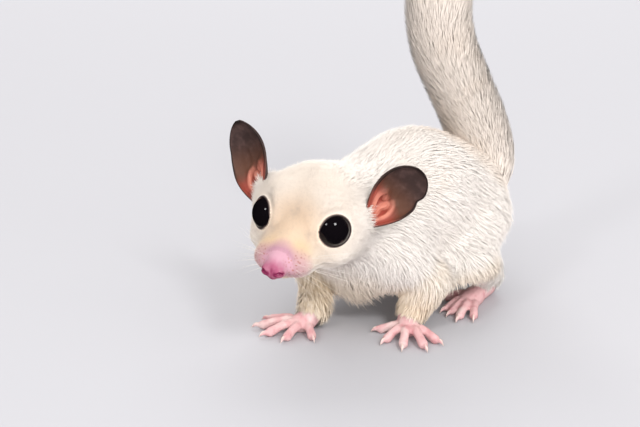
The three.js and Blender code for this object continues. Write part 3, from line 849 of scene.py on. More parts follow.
def regions(mesh, points):
    """For each skin vertex: how bare it is, how far it is head or tail, how deep its coat is,
    and how far it keeps the place that the nodes give it."""
    tree, owner = flesh_finder()
    nearest = np.array([owner[tree.find_nearest(p)[2]] for p in points.tolist()])
    share = lambda test: np.array([float(test(name)) for name in (*FLESH, "tail")])[nearest]
    bare = share(lambda name: name.startswith(COAT_FREE))
    head, tail = share(lambda name: name == "head"), share(lambda name: name == "tail")
    depth = share(depth_share) * sizes().body_depth / MM
    crown = smoothstep(-9, 8, to_head(points)[:, 1]) * smoothstep(3, 10, ear_distance(points))
    crown *= smoothstep(6, 15, eye_distance(points))
    depth += head * (0.3 + (sizes().face_depth / MM - 0.3) * crown)
    depth *= smoothstep(6.2, 9, eye_distance(points)) * wrist_share(points)
    (depth,) = neighbours_mean(mesh, 20, depth)
    named = {"bare": bare, "head": head, "tail": tail, "depth": depth, "loose": bare + tail}
    return dict(zip(named, neighbours_mean(mesh, 10, *named.values())))


def eye_looks():
    for name, side in SIDES.items():
        yield name, unit(from_head(mirrored(side, EYE_LOOK)) - HEAD_AT)


def laid_round_eyes(points):
    """Lowers the skin in front of each eye, so that it meets the eyeball at the lids."""
    points = points.copy()
    ring = np.zeros(len(points))
    for name, look in eye_looks():
        out = points - EYE_AT[name]
        ahead = out @ look
        r = np.linalg.norm(out - ahead[:, None] * look, axis=1)
        rise = 0.12 + 0.5 * smoothstep(4.8, 5.3, r)
        under_lid = np.sqrt(np.maximum((EYE_RADIUS + rise) ** 2 - r**2, 2.2**2))
        under_eye = np.sqrt(np.maximum((EYE_RADIUS - 0.2) ** 2 - r**2, 0))
        limit = np.where(r < 4.4, under_eye, under_lid + 0.45 * np.maximum(r - 5.4, 0) ** 2)
        lowered = np.where((ahead > 0) & (r < 9), np.maximum(ahead - limit, 0), 0)
        points -= look * lowered[:, None]
        band = smoothstep(5.0, 5.8, r) * (1 - smoothstep(7.5, 9.5, r))
        ring = np.maximum(ring, band * (np.abs(ahead) < 6))
    return points, ring


SKIN_TRIANGLES = 150000
MOUTH_HEIGHT, MOUTH_CORNER_RISE, MOUTH_ANGLE = -10.1, 1.6, math.radians(78)


def mouth_line():
    """The line where the lips meet, on the head's surface."""
    angle = np.linspace(-MOUTH_ANGLE, MOUTH_ANGLE, 40)
    start = np.zeros((40, 3)) + [0, -2.5, 0]
    start[:, 2] = MOUTH_HEIGHT + MOUTH_CORNER_RISE * (angle / MOUTH_ANGLE) ** 2
    ways = np.stack([np.sin(angle), -np.cos(angle), np.zeros(40)], 1)
    return from_head(marched(head_mass, start, ways, 18))


def mouth_groove(points, width=0.45):
    """1 on the line of the lips, falling to 0 within its width."""
    share = np.zeros(len(points))
    low = points[:, 2] < HEAD_AT[2]
    away = least_distance(points[low], mouth_line())
    share[low] = 1 - smoothstep(width * 0.5, width * 2, away)
    return share


def wrist_share(points):
    """0 at the wrists and ankles, 1 away from them."""
    joints = [*WRIST.values(), *(mirrored(side, ANKLE) for side in SIDES.values())]
    return smoothstep(3.5, 8, least_distance(points, joints))


def ear_distance(points):
    return least_distance(points, EAR_BASE.values())


def eye_distance(points):
    return least_distance(points, EYE_AT.values())


def hollow_distance(points, name):
    """How far places are from the hollow at an ear's root."""
    return distance(points, from_head(EarLeaf(name).place(*EAR_HOLLOW)))


def make_skin():
    skin = flesh_object()
    evaluated(skin, ("REMESH", {"mode": "VOXEL", "voxel_size": sizes().voxel}))
    points, _ = vertex_arrays(skin.data)
    (points,) = neighbours_mean(skin.data, 3, points)
    move_vertices(skin.data, points)
    share = SKIN_TRIANGLES / len(triangle_arrays(skin.data)[0])
    evaluated(skin, ("DECIMATE", {"ratio": min(1.0, share)}))
    points, _ = vertex_arrays(skin.data)
    area = regions(skin.data, points)
    eye = eye_distance(points)
    free = (1 - np.clip(area["loose"] * 1.6, 0, 1)) * smoothstep(6.6, 9.0, eye)
    free *= wrist_share(points)
    (smoother,) = neighbours_mean(skin.data, 6, points)
    points = points + (smoother - points) * free[:, None]
    depth = area["depth"] + 0.5 * mouth_groove(points)
    for _ in range(4):
        gradient = slope(body_mass, points)
        off = np.clip(body_mass(points) + depth, -1.5, 1.5)
        off *= free / np.maximum((gradient**2).sum(1), 0.25)
        points = points - gradient * off[:, None]
    points, ring = laid_round_eyes(points)
    (smoother,) = neighbours_mean(skin.data, 12, points)
    points = points + (smoother - points) * ring[:, None]
    for name in SIDES:
        near = 1 - smoothstep(2.0, 5.0, hollow_distance(points, name))
        points = points - EAR_WAY[name] * (EAR_HOLLOW_DEPTH * near)[:, None]
    points[:, 2] = np.maximum(points[:, 2], 0.0)
    move_vertices(skin.data, points)
    skin.data.shade_smooth()
    mark_vertices(skin.data, "bare", smoothstep(0.55, 0.85, area["bare"]))
    state["skin"], state["area"] = skin, area
    finish_piece(skin, skin_material(), "fur", *REPLACED)


# ---------------------------------------------------------------- coat
# The lie of the coat: places and the way the hair runs there
LIE = [
    (NOSE_TIP, from_head([0, 1, 0.4]) - HEAD_AT),
    (from_head([0, 0, 8]), from_head([0, 1, 0.5]) - HEAD_AT),
    (from_head([0, 18, 8]), from_head([0, 1, -0.5]) - HEAD_AT),
    (from_head([14, 6, -4]), from_head([0.5, 1, -0.3]) - HEAD_AT),
    (from_head([-14, 6, -4]), from_head([-0.5, 1, -0.3]) - HEAD_AT),
    (from_head([0, 4, -14]), from_head([0, 1, -0.3]) - HEAD_AT),
    ((0, 30, 50), (0, 1, 0.3)),
    ((0, 60, 54), (0, 1, -0.3)),
    ((0, 86, 30), (0, 0.4, 0.6)),
    ((0, 84, 18), (0, -0.2, -1)),
    ((0, 20, 12), (0, 0.5, -1)),
    ((0, 50, 6), (0, 1, 0)),
]
for _side, _sign in SIDES.items():
    LIE += [
        ((_sign * 21, 45, 30), (_sign * 0.1, 0.8, -0.6)),
        ((_sign * 20, 70, 28), (_sign * 0.1, 0.5, -0.8)),
        (mirrored(_sign, KNEE), (_sign * 0.1, 0.5, -0.9)),
        (mirrored(_sign, ANKLE), (0, -0.6, -0.6)),
        (SHOULDER[_side], (_sign * 0.2, 0.6, -0.8)),
        (ELBOW[_side], unit(np.subtract(WRIST[_side], ELBOW[_side])) + [0, 0.5, 0]),
        (WRIST[_side], unit(np.subtract(WRIST[_side], ELBOW[_side]))),
    ]


def lie_of_coat(points, normals):
    total = np.zeros_like(points)
    for place, way in LIE:
        away = ((points - np.array(place)) ** 2).sum(1)
        total += unit(way)[None] * (1 / (away + 16) ** 1.5)[:, None]
    total = unit(total)
    for name in SIDES:
        out = points - EYE_AT[name]
        away = np.linalg.norm(out, axis=1)
        total += unit(out) * (1.6 * (1 - smoothstep(6, 10, away)))[:, None]
        near = np.exp(-((distance(points, EAR_BASE[name]) / 5) ** 2))
        total += unit(EAR_WAY[name]) * (0.5 * near)[:, None]
    # slow waves break up the lie
    wave = np.stack([np.sin(points @ k) for k in WAVES], 1) @ np.array([0.12, 0.1, 0.08])
    side = np.cross(normals, unit(total))
    total = unit(total) + side * wave[:, None]
    total -= normals * (total * normals).sum(1)[:, None]
    return unit(total)


WAVES = np.array([[0.5, 0.3, 0.6], [-0.7, 0.9, 0.4], [1.3, -0.8, 1.1]])
EAR_WAY = {n: HEAD_TURN @ unit(EAR_LINE[n]) for n in SIDES}
EAR_BASE = {n: from_head(EAR_ROOT[n]) for n in SIDES}


def unwrapped_proxy(skin):
    """A light copy of the skin, unwrapped, that gives each tuft its place on the map."""
    proxy = linked("proxy", skin.data.copy())
    evaluated(proxy, ("DECIMATE", {"ratio": 0.03}))
    bpy.ops.object.select_all(action="DESELECT")
    bpy.context.view_layer.objects.active = proxy
    proxy.select_set(True)
    bpy.ops.object.mode_set(mode="EDIT")
    bpy.ops.mesh.select_all(action="SELECT")
    bpy.ops.uv.smart_project(angle_limit=math.radians(66), island_margin=0.002)
    bpy.ops.object.mode_set(mode="OBJECT")
    mesh = proxy.data
    co, _ = vertex_arrays(mesh)
    corners, loops = triangle_arrays(mesh)
    uv = np.empty(len(mesh.loops) * 2, np.float32)
    mesh.uv_layers.active.data.foreach_get("uv", uv)
    tree = BVHTree.FromPolygons(co.tolist(), corners.tolist())
    bpy.data.objects.remove(proxy)
    return tree, co[corners], uv.reshape(-1, 2)[loops]


def map_places(points):
    if "proxy" not in state:
        state["proxy"] = unwrapped_proxy(state["skin"])
    tree, corners, uvs = state["proxy"]
    found = [tree.find_nearest(p) for p in points.tolist()]
    at = np.array([f[0][:] for f in found])
    face = np.array([f[2] for f in found])
    a, b, c = corners[face, 0], corners[face, 1], corners[face, 2]
    v0, v1, v2 = b - a, c - a, at - a
    d00, d01, d11 = (v0 * v0).sum(1), (v0 * v1).sum(1), (v1 * v1).sum(1)
    d20, d21 = (v2 * v0).sum(1), (v2 * v1).sum(1)
    den = np.maximum(d00 * d11 - d01 * d01, 1e-9)
    v = np.clip((d11 * d20 - d01 * d21) / den, 0, 1)
    w = np.clip((d00 * d21 - d01 * d20) / den, 0, 1)
    uv = uvs[face]
    return uv[:, 0] * (1 - v - w)[:, None] + uv[:, 1] * v[:, None] + uv[:, 2] * w[:, None]


PATCH = 0.003
TRIANGLES_PER_PIECE = 190000


def tuft_faces(sections):
    """The faces of one tuft: its foot, its sides and its tip."""
    edges = ((0, 1), (1, 2), (2, 0))
    faces = [(0, 2, 1)]
    for s in range(0, 3 * (sections - 2), 3):
        for a, b in edges:
            faces += [(s + a, s + b, s + 3 + b), (s + a, s + 3 + b, s + 3 + a)]
    last = 3 * (sections - 2)
    return np.array(faces + [(last + a, last + b, last + 3) for a, b in edges])


def tufts(name, line, out, half_width, material, slot, thickness=0.4, soften=0.75):
    """Closed three-sided tufts. line holds each tuft's points from root to tip, as an array of
    tufts by points, and out its outward direction at its root."""
    count, sections, _ = line.shape
    along = unit(np.gradient(line, axis=1))
    across = unit(np.cross(along, out[:, None, :]))
    top = unit(np.cross(across, along))
    share = np.linspace(0, 1, sections)[:-1]
    width = half_width[:, None] * (0.7 + 1.1 * share - 1.75 * share**2)[None, :]
    base, w = line[:, :-1], width[..., None]
    across, top = across[:, :-1], top[:, :-1]
    ring = np.stack([base - across * w, base + top * w * thickness, base + across * w], 2)
    points = np.concatenate([ring.reshape(count, -1, 3), line[:, -1:]], 1)
    per = points.shape[1]
    lean = np.array([-1.0, 0.0, 1.0])
    normal = soften * out[:, None, None, :] + (1 - soften) * (
        top[:, :, None, :] + across[:, :, None, :] * lean[None, None, :, None] * 1.4
    )
    normal = np.concatenate([normal.reshape(count, -1, 3), out[:, None, :]], 1)
    faces = tuft_faces(sections)
    places = map_places(line[:, 0])
    u = np.tile([-0.5, 0.0, 0.5], sections - 1)
    v = np.repeat(share, 3)
    patch = np.stack([np.r_[u, 0.0], np.r_[v, 1.0] - 0.5], 1) * PATCH
    pieces = math.ceil(count * len(faces) / TRIANGLES_PER_PIECE)
    for piece in range(pieces):
        pick = slice(piece * count // pieces, (piece + 1) * count // pieces)
        n = len(points[pick])
        obj_faces = (faces[None] + (np.arange(n) * per)[:, None, None]).reshape(-1, 3)
        mesh = bpy.data.meshes.new(name)
        mesh.vertices.add(n * per)
        places_now = to_frame(points[pick].reshape(-1, 3)).astype(np.float32)
        mesh.vertices.foreach_set("co", places_now.ravel())
        mesh.loops.add(obj_faces.size)
        mesh.loops.foreach_set("vertex_index", obj_faces.ravel().astype(np.int32))
        mesh.polygons.add(len(obj_faces))
        mesh.polygons.foreach_set("loop_start", np.arange(0, obj_faces.size, 3, dtype=np.int32))
        mesh.update(calc_edges=True)
        mesh.shade_smooth()
        layer = mesh.uv_layers.new(name="OFBake")
        uv = (places[pick][:, None, :] + patch[None]).reshape(-1, 2)
        layer.data.foreach_set("uv", uv[obj_faces.ravel()].astype(np.float32).ravel())
        mesh.normals_split_custom_set_from_vertices(unit(normal[pick].reshape(-1, 3)).tolist())
        finish_piece(linked(f"{name}_{piece + 1}", mesh), material, slot)


def skin_triangles():
    if "triangles" not in state:
        state["triangles"], _ = triangle_arrays(state["skin"].data)
    return state["triangles"]


def scattered(rng, weight, count):
    """Random places on the skin, as many as count, by each vertex's weight."""
    mesh = state["skin"].data
    points, normals = vertex_arrays(mesh)
    tri = skin_triangles()
    a, b, c = points[tri[:, 0]], points[tri[:, 1]], points[tri[:, 2]]
    area = np.linalg.norm(np.cross(b - a, c - a), axis=1) * weight[tri].mean(1)
    pick = np.searchsorted(np.cumsum(area) / area.sum(), rng.random(count))
    pick = np.minimum(pick, len(tri) - 1)
    u, v = rng.random(count), rng.random(count)
    flip = u + v > 1
    u[flip], v[flip] = 1 - u[flip], 1 - v[flip]
    share = np.stack([1 - u - v, u, v], 1)
    at = (points[tri[pick]] * share[..., None]).sum(1)
    normal = unit((normals[tri[pick]] * share[..., None]).sum(1))
    carried = {k: (value[tri[pick]] * share).sum(1) for k, value in state["area"].items()}
    return at, normal, carried


HUG_REACH = 1.2


def height_over_skin(points):
    """How far places stand off the skin, below 0 inside it."""
    if "tree" not in state:
        vertices, _ = vertex_arrays(state["skin"].data)
        state["tree"] = BVHTree.FromPolygons(vertices.tolist(), skin_triangles().tolist())
    height = np.empty(len(points))
    for i, place in enumerate(points.tolist()):
        nearest, normal, _, _ = state["tree"].find_nearest(place)
        height[i] = (Vector(place) - nearest).dot(normal)
    return height


def coat_line(rng, root, normal, lie, size, lift, sections, wander, hug=1.0):
    """Tufts that leave the skin and bend over along the lie, hugging the body's shape by the
    share that hug gives."""
    side = np.cross(normal, lie)
    way = unit(lie + side * rng.normal(0, wander, len(root))[:, None])
    share = np.linspace(0, 1, sections)
    rise = (lift[:, None] * (share - 0.42 * share**2)[None] - 0.02) * size[:, None]
    line = root[:, None] + way[:, None] * (size[:, None] * share)[..., None]
    for k in range(1, sections):
        if np.any(hug):
            off = np.clip(height_over_skin(line[:, k]), -HUG_REACH, HUG_REACH) * hug
            line[:, k] -= normal * off[:, None]
    return line + normal[:, None] * rise[..., None]


def bare_share(points, area):
    """How bare the skin is: round the eyes, on the nose and on the hands and feet."""
    eye = 1 - smoothstep(5.45, 5.75, eye_distance(points))
    nose = 1 - smoothstep(4.4, 7.4, distance(points, NOSE_TIP))
    return np.clip(np.maximum(np.maximum(eye, nose), smoothstep(0.5, 0.8, area["bare"])), 0, 1)


# Seeds of the random draws
SEED = {"coat_under": 11, "coat_over": 15, "coat_face": 12, "coat_tail": 13, "whiskers": 14}
CHEST = (3, 20, 11)
LID_TUFTS = 1800
LOWEST_ROOT, LOWEST_TUFT = 1.2, 0.35


def body_weight():
    points, _ = vertex_arrays(state["skin"].data)
    area = state["area"]
    body = (1 - smoothstep(0.3, 0.7, area["head"])) * (1 - area["tail"])
    return (1 - bare_share(points, area)) * body * (points[:, 2] > LOWEST_ROOT)


def make_body_coat():
    weight = body_weight()
    material = coat_material("glider_coat")
    for name, count, sections, share, lift_range, width in (
        ("coat_under", sizes().under_tufts, 2, 0.66, (0.08, 0.24), (0.08, 0.13)),
        ("coat_over", sizes().over_tufts, 3, 1.1, (0.24, 0.62), (0.1, 0.18)),
    ):
        rng = np.random.default_rng(SEED[name])
        at, normal, carried = scattered(rng, weight, count)
        lie = lie_of_coat(at, normal)
        full = np.clip(carried["depth"] * MM / sizes().body_depth, 0.25, 1)
        size = sizes().body_coat / MM * share * (0.35 + 0.65 * full) * rng.uniform(0.7, 1.2, count)
        size *= 1 - 0.6 * smoothstep(0.0, 0.3, carried["bare"])
        lift = rng.uniform(*lift_range, count) + 0.3 * (1 - full)
        chest = np.exp(-((distance(at, CHEST) / 9) ** 2))
        size *= 1 + 0.8 * chest
        lift += 0.15 * chest
        line = coat_line(rng, at, normal, lie, size, lift, sections, 0.18, 1 - 0.8 * chest)
        line[..., 2] = np.maximum(line[..., 2], LOWEST_TUFT)
        tufts(name, line, normal, rng.uniform(*width, count), material, "fur", soften=0.6)


def make_face_coat():
    rng = np.random.default_rng(SEED["coat_face"])
    points, _ = vertex_arrays(state["skin"].data)
    area = state["area"]
    weight = (1 - bare_share(points, area)) * smoothstep(0.3, 0.7, area["head"])
    weight *= (1 - smoothstep(0.5, 0.9, mouth_groove(points))) * (
        1.6 - smoothstep(-10, 10, to_head(points)[:, 1])
    )
    for name in SIDES:
        weight *= smoothstep(3.0, 4.2, hollow_distance(points, name))
    count = sizes().face_tufts
    at, normal, _ = scattered(rng, weight, count)
    lie = lie_of_coat(at, normal)
    back = smoothstep(-12, 12, to_head(at)[:, 1])
    ear = np.exp(-((ear_distance(at) / 4.5) ** 2))
    eye = 0.45 + 0.55 * smoothstep(6.0, 9.0, eye_distance(at))
    size = sizes().face_coat / MM * (0.4 + 1.1 * back) * rng.uniform(0.7, 1.25, count)
    size *= eye * (1 + 0.4 * ear)
    lift = rng.uniform(0.2, 0.62, count) + 0.1 * ear
    line = coat_line(rng, at, normal, lie, size, lift, 2, 0.24)
    half = rng.uniform(0.08, 0.14, count) * (0.75 + 0.4 * back)
    coat = bpy.data.materials["glider_coat"]
    tufts("coat_face", line, normal, half, coat, "fur", soften=0.4)
    count = LID_TUFTS
    for name, look in eye_looks():
        beyond = rng.uniform(5, 26, count)
        turn = rng.uniform(0, 2 * np.pi, count)
        out, way = lid_directions(look, turn, LID_TURN + np.radians(beyond))
        at = EYE_AT[name] + out * (EYE_RADIUS + 0.26 + 0.008 * beyond)[:, None]
        size = (0.6 + 0.035 * beyond) * rng.uniform(0.7, 1.3, count)
        lift = rng.uniform(0.15, 0.5, count)
        line = coat_line(rng, at, out, way, size, lift, 2, 0.3, 0.0)
        tufts(f"coat_lid_{name}", line, out, rng.uniform(0.06, 0.1, count), coat, "fur")


def make_tail_coat():
    rng = np.random.default_rng(SEED["coat_tail"])
    count = sizes().tail_tufts
    d = rng.uniform(4, TAIL_LENGTH - 4, count)
    clump = rng.normal(0, 0.04, count)
    angle = rng.uniform(0, 2 * np.pi, count)
    size = sizes().tail_hair / MM * rng.uniform(0.7, 1.15, count)
    size = np.minimum(size, TAIL_LENGTH + 2 - d)
    tip = smoothstep(TAIL_LENGTH - 18, TAIL_LENGTH - 6, d)
    inner = rng.random(count) < 0.2 + 0.4 * tip
    reach = np.where(inner, rng.uniform(0.1, 0.9, count), rng.uniform(0.92, 1, count))
    share = np.array([0, 0.3, 0.65, 1])
    run = d[:, None] + size[:, None] * share
    root_radius = (tail_core_radius(d) - 0.3) * np.clip((TAIL_LENGTH - d) / 8, 0.2, 1)
    full = tail_radius(run)
    grown = share**0.62 * reach[:, None]
    radius = root_radius[:, None] * (1 - grown) + full * grown
    radius = np.minimum(radius, np.maximum(full, 0.1))
    turn = angle[:, None] + clump[:, None] * share * 4
    line, outward = tail_place(run, radius, turn)
    half = rng.uniform(0.24, 0.42, count)
    material = bpy.data.materials["glider_coat"]
    tufts("coat_tail", line, outward[:, 1], half, material, "fur", 0.25, 0.9)


# ---------------------------------------------------------------- eyes, lids, nose, ears
def make_eyes():
    shader = Shader("glider_eye", Roughness=0.02, Specular_IOR_Level=0.27)
    material = shader.feed(Base_Color=tone("eye"))
    for name in SIDES:
        bpy.ops.mesh.primitive_uv_sphere_add(
            segments=64, ring_count=40, radius=EYE_RADIUS * MM, location=to_frame(EYE_AT[name])
        )
        eye = bpy.context.object
        eye.name = f"eyeball_{name}"
        eye.data.shade_smooth()
        finish_piece(eye, material, "eye", f"eye_{name}")


# Each row of a lid: degrees beyond its edge, how far off the eyeball it is, and how dark
LID_ROWS = (
    (0, -0.15, 1),
    (0, 0.1, 1),
    (2, 0.2, 1),
    (4.5, 0.25, 0.75),
    (8, 0.29, 0.12),
    (14, 0.36, 0),
    (22, 0.46, 0),
    (30, 0.46, 0),
    (30, -0.15, 0),
)
LID_COLUMNS = 96


def lid_directions(look, turn, bend):
    """Directions off an eye's centre, turn round its look and bend away from it, and the ways
    that run on from there over the eyeball, away from its front."""
    across = unit(np.cross(look, [0, 0, 1.0]))
    top = np.cross(across, look)
    radial = across * np.cos(turn)[:, None] + top * np.sin(turn)[:, None]
    out = look * np.cos(bend)[:, None] + radial * np.sin(bend)[:, None]
    return out, radial * np.cos(bend)[:, None] - look * np.sin(bend)[:, None]


def make_lids():
    shader = Shader("glider_lid", Roughness=0.5, Specular_IOR_Level=0.35)
    skin = shader.mix(coat_colour(shader), tone("lid"), shader.attribute("dark"))
    material = shader.feed(Base_Color=skin)
    turn = np.linspace(0, 2 * np.pi, LID_COLUMNS, endpoint=False)
    at = lambda i, j: i % len(LID_ROWS) * LID_COLUMNS + j % LID_COLUMNS
    faces = [
        (at(i, j), at(i, j + 1), at(i + 1, j + 1), at(i + 1, j))
        for i in range(len(LID_ROWS))
        for j in range(LID_COLUMNS)
    ]
    for name, look in eye_looks():
        corner = unit(INNER_CORNER[name] - EYE_AT[name])
        out, _ = lid_directions(look, turn, np.full(LID_COLUMNS, LID_TURN))
        wide = 0.09 * smoothstep(0.8, 1.0, unit(out - look * math.cos(LID_TURN)) @ corner)
        rows = []
        for beyond, off, _ in LID_ROWS:
            out, _ = lid_directions(look, turn, LID_TURN + wide + math.radians(beyond))
            rows.append(EYE_AT[name] + out * (EYE_RADIUS + off))
        lid = new_object(f"lid_{name}", np.vstack(rows), faces)
        mark_vertices(lid.data, "dark", np.repeat([row[2] for row in LID_ROWS], LID_COLUMNS))
        finish_piece(lid, material, "fur")


NOSE_SEGMENTS, NOSE_RINGS = 150, 110


def make_nose():
    turn = np.linspace(0, 2 * np.pi, NOSE_SEGMENTS, endpoint=False)
    tilt = np.linspace(0, np.pi, NOSE_RINGS + 2)[1:-1]
    ways = np.stack(
        [
            np.sin(tilt)[:, None] * np.cos(turn)[None],
            np.broadcast_to(-np.cos(tilt)[:, None], (NOSE_RINGS, NOSE_SEGMENTS)),
            np.sin(tilt)[:, None] * np.sin(turn)[None],
        ],
        2,
    ).reshape(-1, 3)
    centre = np.array(NOSE_CENTRE)

    def pad(p):
        ball = np.linalg.norm(p - centre, axis=1) - NOSE_REACH
        return np.maximum(np.maximum(nose_mass(p), ball), -nostril_mass(p))

    points = marched(pad, np.broadcast_to(centre, ways.shape), ways, NOSE_REACH + 0.5)
    rows = from_head(points).reshape(NOSE_RINGS, NOSE_SEGMENTS, 3)
    nose = new_object("nose_pad", *skin_over(rows))
    shader = Shader("glider_nose", Roughness=0.34, Specular_IOR_Level=0.5)
    front = shader.near(from_head([0, -18, -8.2]), 2.0, 3.4)
    blotches = shader.noise(420.0, 2.0).step(0.3, 0.75)
    skin = shader.mix(coat_colour(shader), tone("pad"), (front * (0.75 + blotches * 0.4)).clamp())
    # Painted shade inside the nostril slits
    for side in SIDES.values():
        hole = shader.near_line(
            from_head([side * 1.2, -18.4, -8.0]), from_head([side * 2.9, -17.4, -7.6]), 0.35, 0.7
        )
        skin = shader.mix(skin, tone("nostril"), hole)
    # Painted shade along the groove between the nostrils
    groove = shader.near_line(from_head([0, -18.3, -6.4]), from_head([0, -17.6, -10]), 0.1, 0.45)
    skin = shader.mix(skin, tone("nostril"), groove * 0.6)
    pores = shader.add(
        "ShaderNodeTexVoronoi", {"feature": "DISTANCE_TO_EDGE"}, Vector=shader.place(), Scale=2600.0
    )
    material = shader.feed(Base_Color=skin, Normal=shader.bump(pores.step(0.0, 0.3), 0.05, 0.4))
    finish_piece(nose, material, "skin", "nose")


EAR_TIP_BLUNT = {"left": 0.52, "right": 0.7}
EAR_ROWS, EAR_COLUMNS, EAR_THIN = 76, 60, 0.28
EAR_MARKS = ("along", "inner", "rim", "turn", "fold")


def ear_half_width(name, share, outer):
    wide = EAR_HALF_WIDTH[name]
    widest = EAR_WIDEST_AT[name]
    if share < widest:
        rise = math.sin(math.pi / 2 * share / widest) ** 0.85
        width = EAR_ROOT_HALF_WIDTH + (wide - EAR_ROOT_HALF_WIDTH) * rise
    else:
        away = (share - widest) / (1 - widest)
        width = wide * max(0, 1 - away**2.3) ** EAR_TIP_BLUNT[name]
    notch = EAR_NOTCH[name] * math.exp(-(((share - 0.66) / 0.07) ** 2)) if outer else 0
    return width - notch


class EarLeaf:
    """The cupped leaf of one ear, on which places are given by share of its length, from root to
    tip, turn, from -1 at its front edge to 1 at its outer edge, and lift off its inner face."""

    def __init__(self, name):
        side = SIDES[name]
        self.name = name
        self.line = unit(EAR_LINE[name])
        across = unit(np.cross(mirrored(side, EAR_FACE), self.line))
        self.face = unit(np.cross(self.line, across))
        self.across = across * -side
        self.start = np.array(EAR_ROOT[name]) - self.line * EAR_SUNK
        self.size = EAR_LENGTH[name] + EAR_SUNK
        self.folds = [
            (catmull([self.flat(*stop) for stop in stops], 30)[0], wide, tall)
            for stops, wide, tall in EAR_FOLDS
        ]

    def flat(self, share, turn):
        """The place on the leaf laid out flat, in mm."""
        return np.array([share * self.size, turn * ear_half_width(self.name, share, turn > 0), 0])

    def folded(self, share, turn):
        """How high the folds at the ear's root stand at a place, in mm."""
        at = self.flat(share, turn)
        heights = [
            tall * math.exp(-((np.linalg.norm(line - at, axis=1).min() / wide) ** 2))
            for line, wide, tall in self.folds
        ]
        return max(heights) * (1 - smoothstep(0.85, 1.0, abs(turn)))

    def place(self, share, turn, lift):
        roll = 0.4 + 1.6 * (1 - share) ** 1.6
        middle = self.start + self.line * share * self.size
        middle = middle - self.face * 2.6 * math.sin(math.pi * share)
        radius = max(0.5, ear_half_width(self.name, share, turn > 0) / roll)
        r = radius - min(lift, 0.65 * radius)
        curl = self.face * (radius - r * math.cos(roll * turn))
        return middle + self.across * r * math.sin(roll * turn) + curl

    def sheets(self, share):
        """The inner and outer faces' places at one share of the length."""
        rise = math.sin(math.pi * min(1, share * 1.4)) ** 2
        inner, outer = [], []
        for j in range(EAR_COLUMNS + 1):
            turn = 2 * j / EAR_COLUMNS - 1
            ridge = 0.3 * math.exp(-(((abs(turn) - 0.45) / 0.13) ** 2)) * rise
            rim = 0.14 * smoothstep(0.86, 0.98, abs(turn))
            raised = ridge + rim + self.folded(share, turn)
            inner.append(self.place(share, turn, EAR_THIN + raised))
            outer.append(self.place(share, turn, -EAR_THIN - rim))
        return inner + outer[::-1]


EAR_HOLLOW, EAR_HOLLOW_DEPTH = (0.17, 0.0, 1.2), 2.9
# The folds at an ear's root: (share, turn) stops, half width and height in mm
EAR_FOLDS = (
    (((0.08, -0.3), (0.24, -0.56), (0.38, -0.62), (0.47, -0.36), (0.4, -0.16)), 1.15, 1.5),
    (((0.04, 0.1), (0.15, 0.02), (0.25, -0.06), (0.33, 0.1)), 1.3, 1.7),
    (((0.14, 0.5), (0.25, 0.56), (0.36, 0.42), (0.42, 0.2)), 1.05, 1.1),
    (((0.1, -0.9), (0.26, -0.93), (0.42, -0.92)), 0.7, 0.8),
    (((0.34, 0.3), (0.5, 0.12), (0.62, 0.1)), 0.9, 0.45),
)


def make_ears():
    shader = Shader("glider_ear", Roughness=0.55, Specular_IOR_Level=0.3)
    along, inner = shader.attribute("along"), shader.attribute("inner")
    veins = shader.noise(420.0, 4.0, 0.6)
    skin = shader.mix(tone("ear"), tone("ear", 1.9), veins.step(0.4, 0.8))
    warm = (1.0 - along.step(0.4, 0.8)) * inner
    skin = shader.mix(skin, tone("ear_glow"), warm * 0.8)
    root = (along + shader.attribute("turn") * 0.1 + veins * 0.16).step(0.36, 0.58)
    root = (1.0 - root) * inner
    skin = shader.mix(skin, tone("ear_root"), (root * (0.5 + veins * 0.8)).clamp())
    low = 1.0 - (along + veins * 0.2).step(0.4, 0.62)
    # Painted light on the raised folds over their own pale pink; the hollows between keep the
    # darker skin as painted shade
    raised = shader.attribute("fold").step(0.3, 0.95) * low
    skin = shader.mix(skin, tone("ear_fold"), (raised * (0.3 + veins * 1.2)).clamp())
    skin = shader.mix(skin, tone("ear", 0.35), shader.attribute("rim"))
    material = shader.feed(Base_Color=skin, Normal=shader.bump(veins, 0.25, 0.6))
    for name in SIDES:
        leaf = EarLeaf(name)
        rows, marks = [], [(0.0, 0.0, 0.0, 0.0, 0.0)]
        for i in range(EAR_ROWS):
            share = (i + 0.25) / (EAR_ROWS - 0.4)
            rows.append(leaf.sheets(share))
            for j in range(EAR_COLUMNS + 1):
                turn = 2 * j / EAR_COLUMNS - 1
                rim = smoothstep(0.93, 0.985, max(abs(turn), share)) * smoothstep(0.25, 0.5, share)
                marks.append((share, 1.0, rim, turn, min(1, leaf.folded(share, turn))))
            marks += [(share, 0.0, 0.0, 0.0, 0.0)] * (EAR_COLUMNS + 1)
        marks.append((1.0, 0.0, 1.0, 0.0, 0.0))
        points, faces = skin_over(np.array(rows))
        ear = new_object(f"ear_leaf_{name}", from_head(points), faces)
        for key, values in zip(EAR_MARKS, np.array(marks, np.float32).T):
            mark_vertices(ear.data, key, values)
        finish_piece(ear, material, "ear_skin", f"ear_{name}")


# ---------------------------------------------------------------- whiskers and claws
def rods(name, lines, radii, material, slot, sides=6):
    """Tapered rods along lines of points, joined in one piece."""
    parts = [skin_over(tube_rows(*rod, sides)) for rod in zip(lines, radii)]
    return finish_piece(new_object(name, *joined(parts)), material, slot)


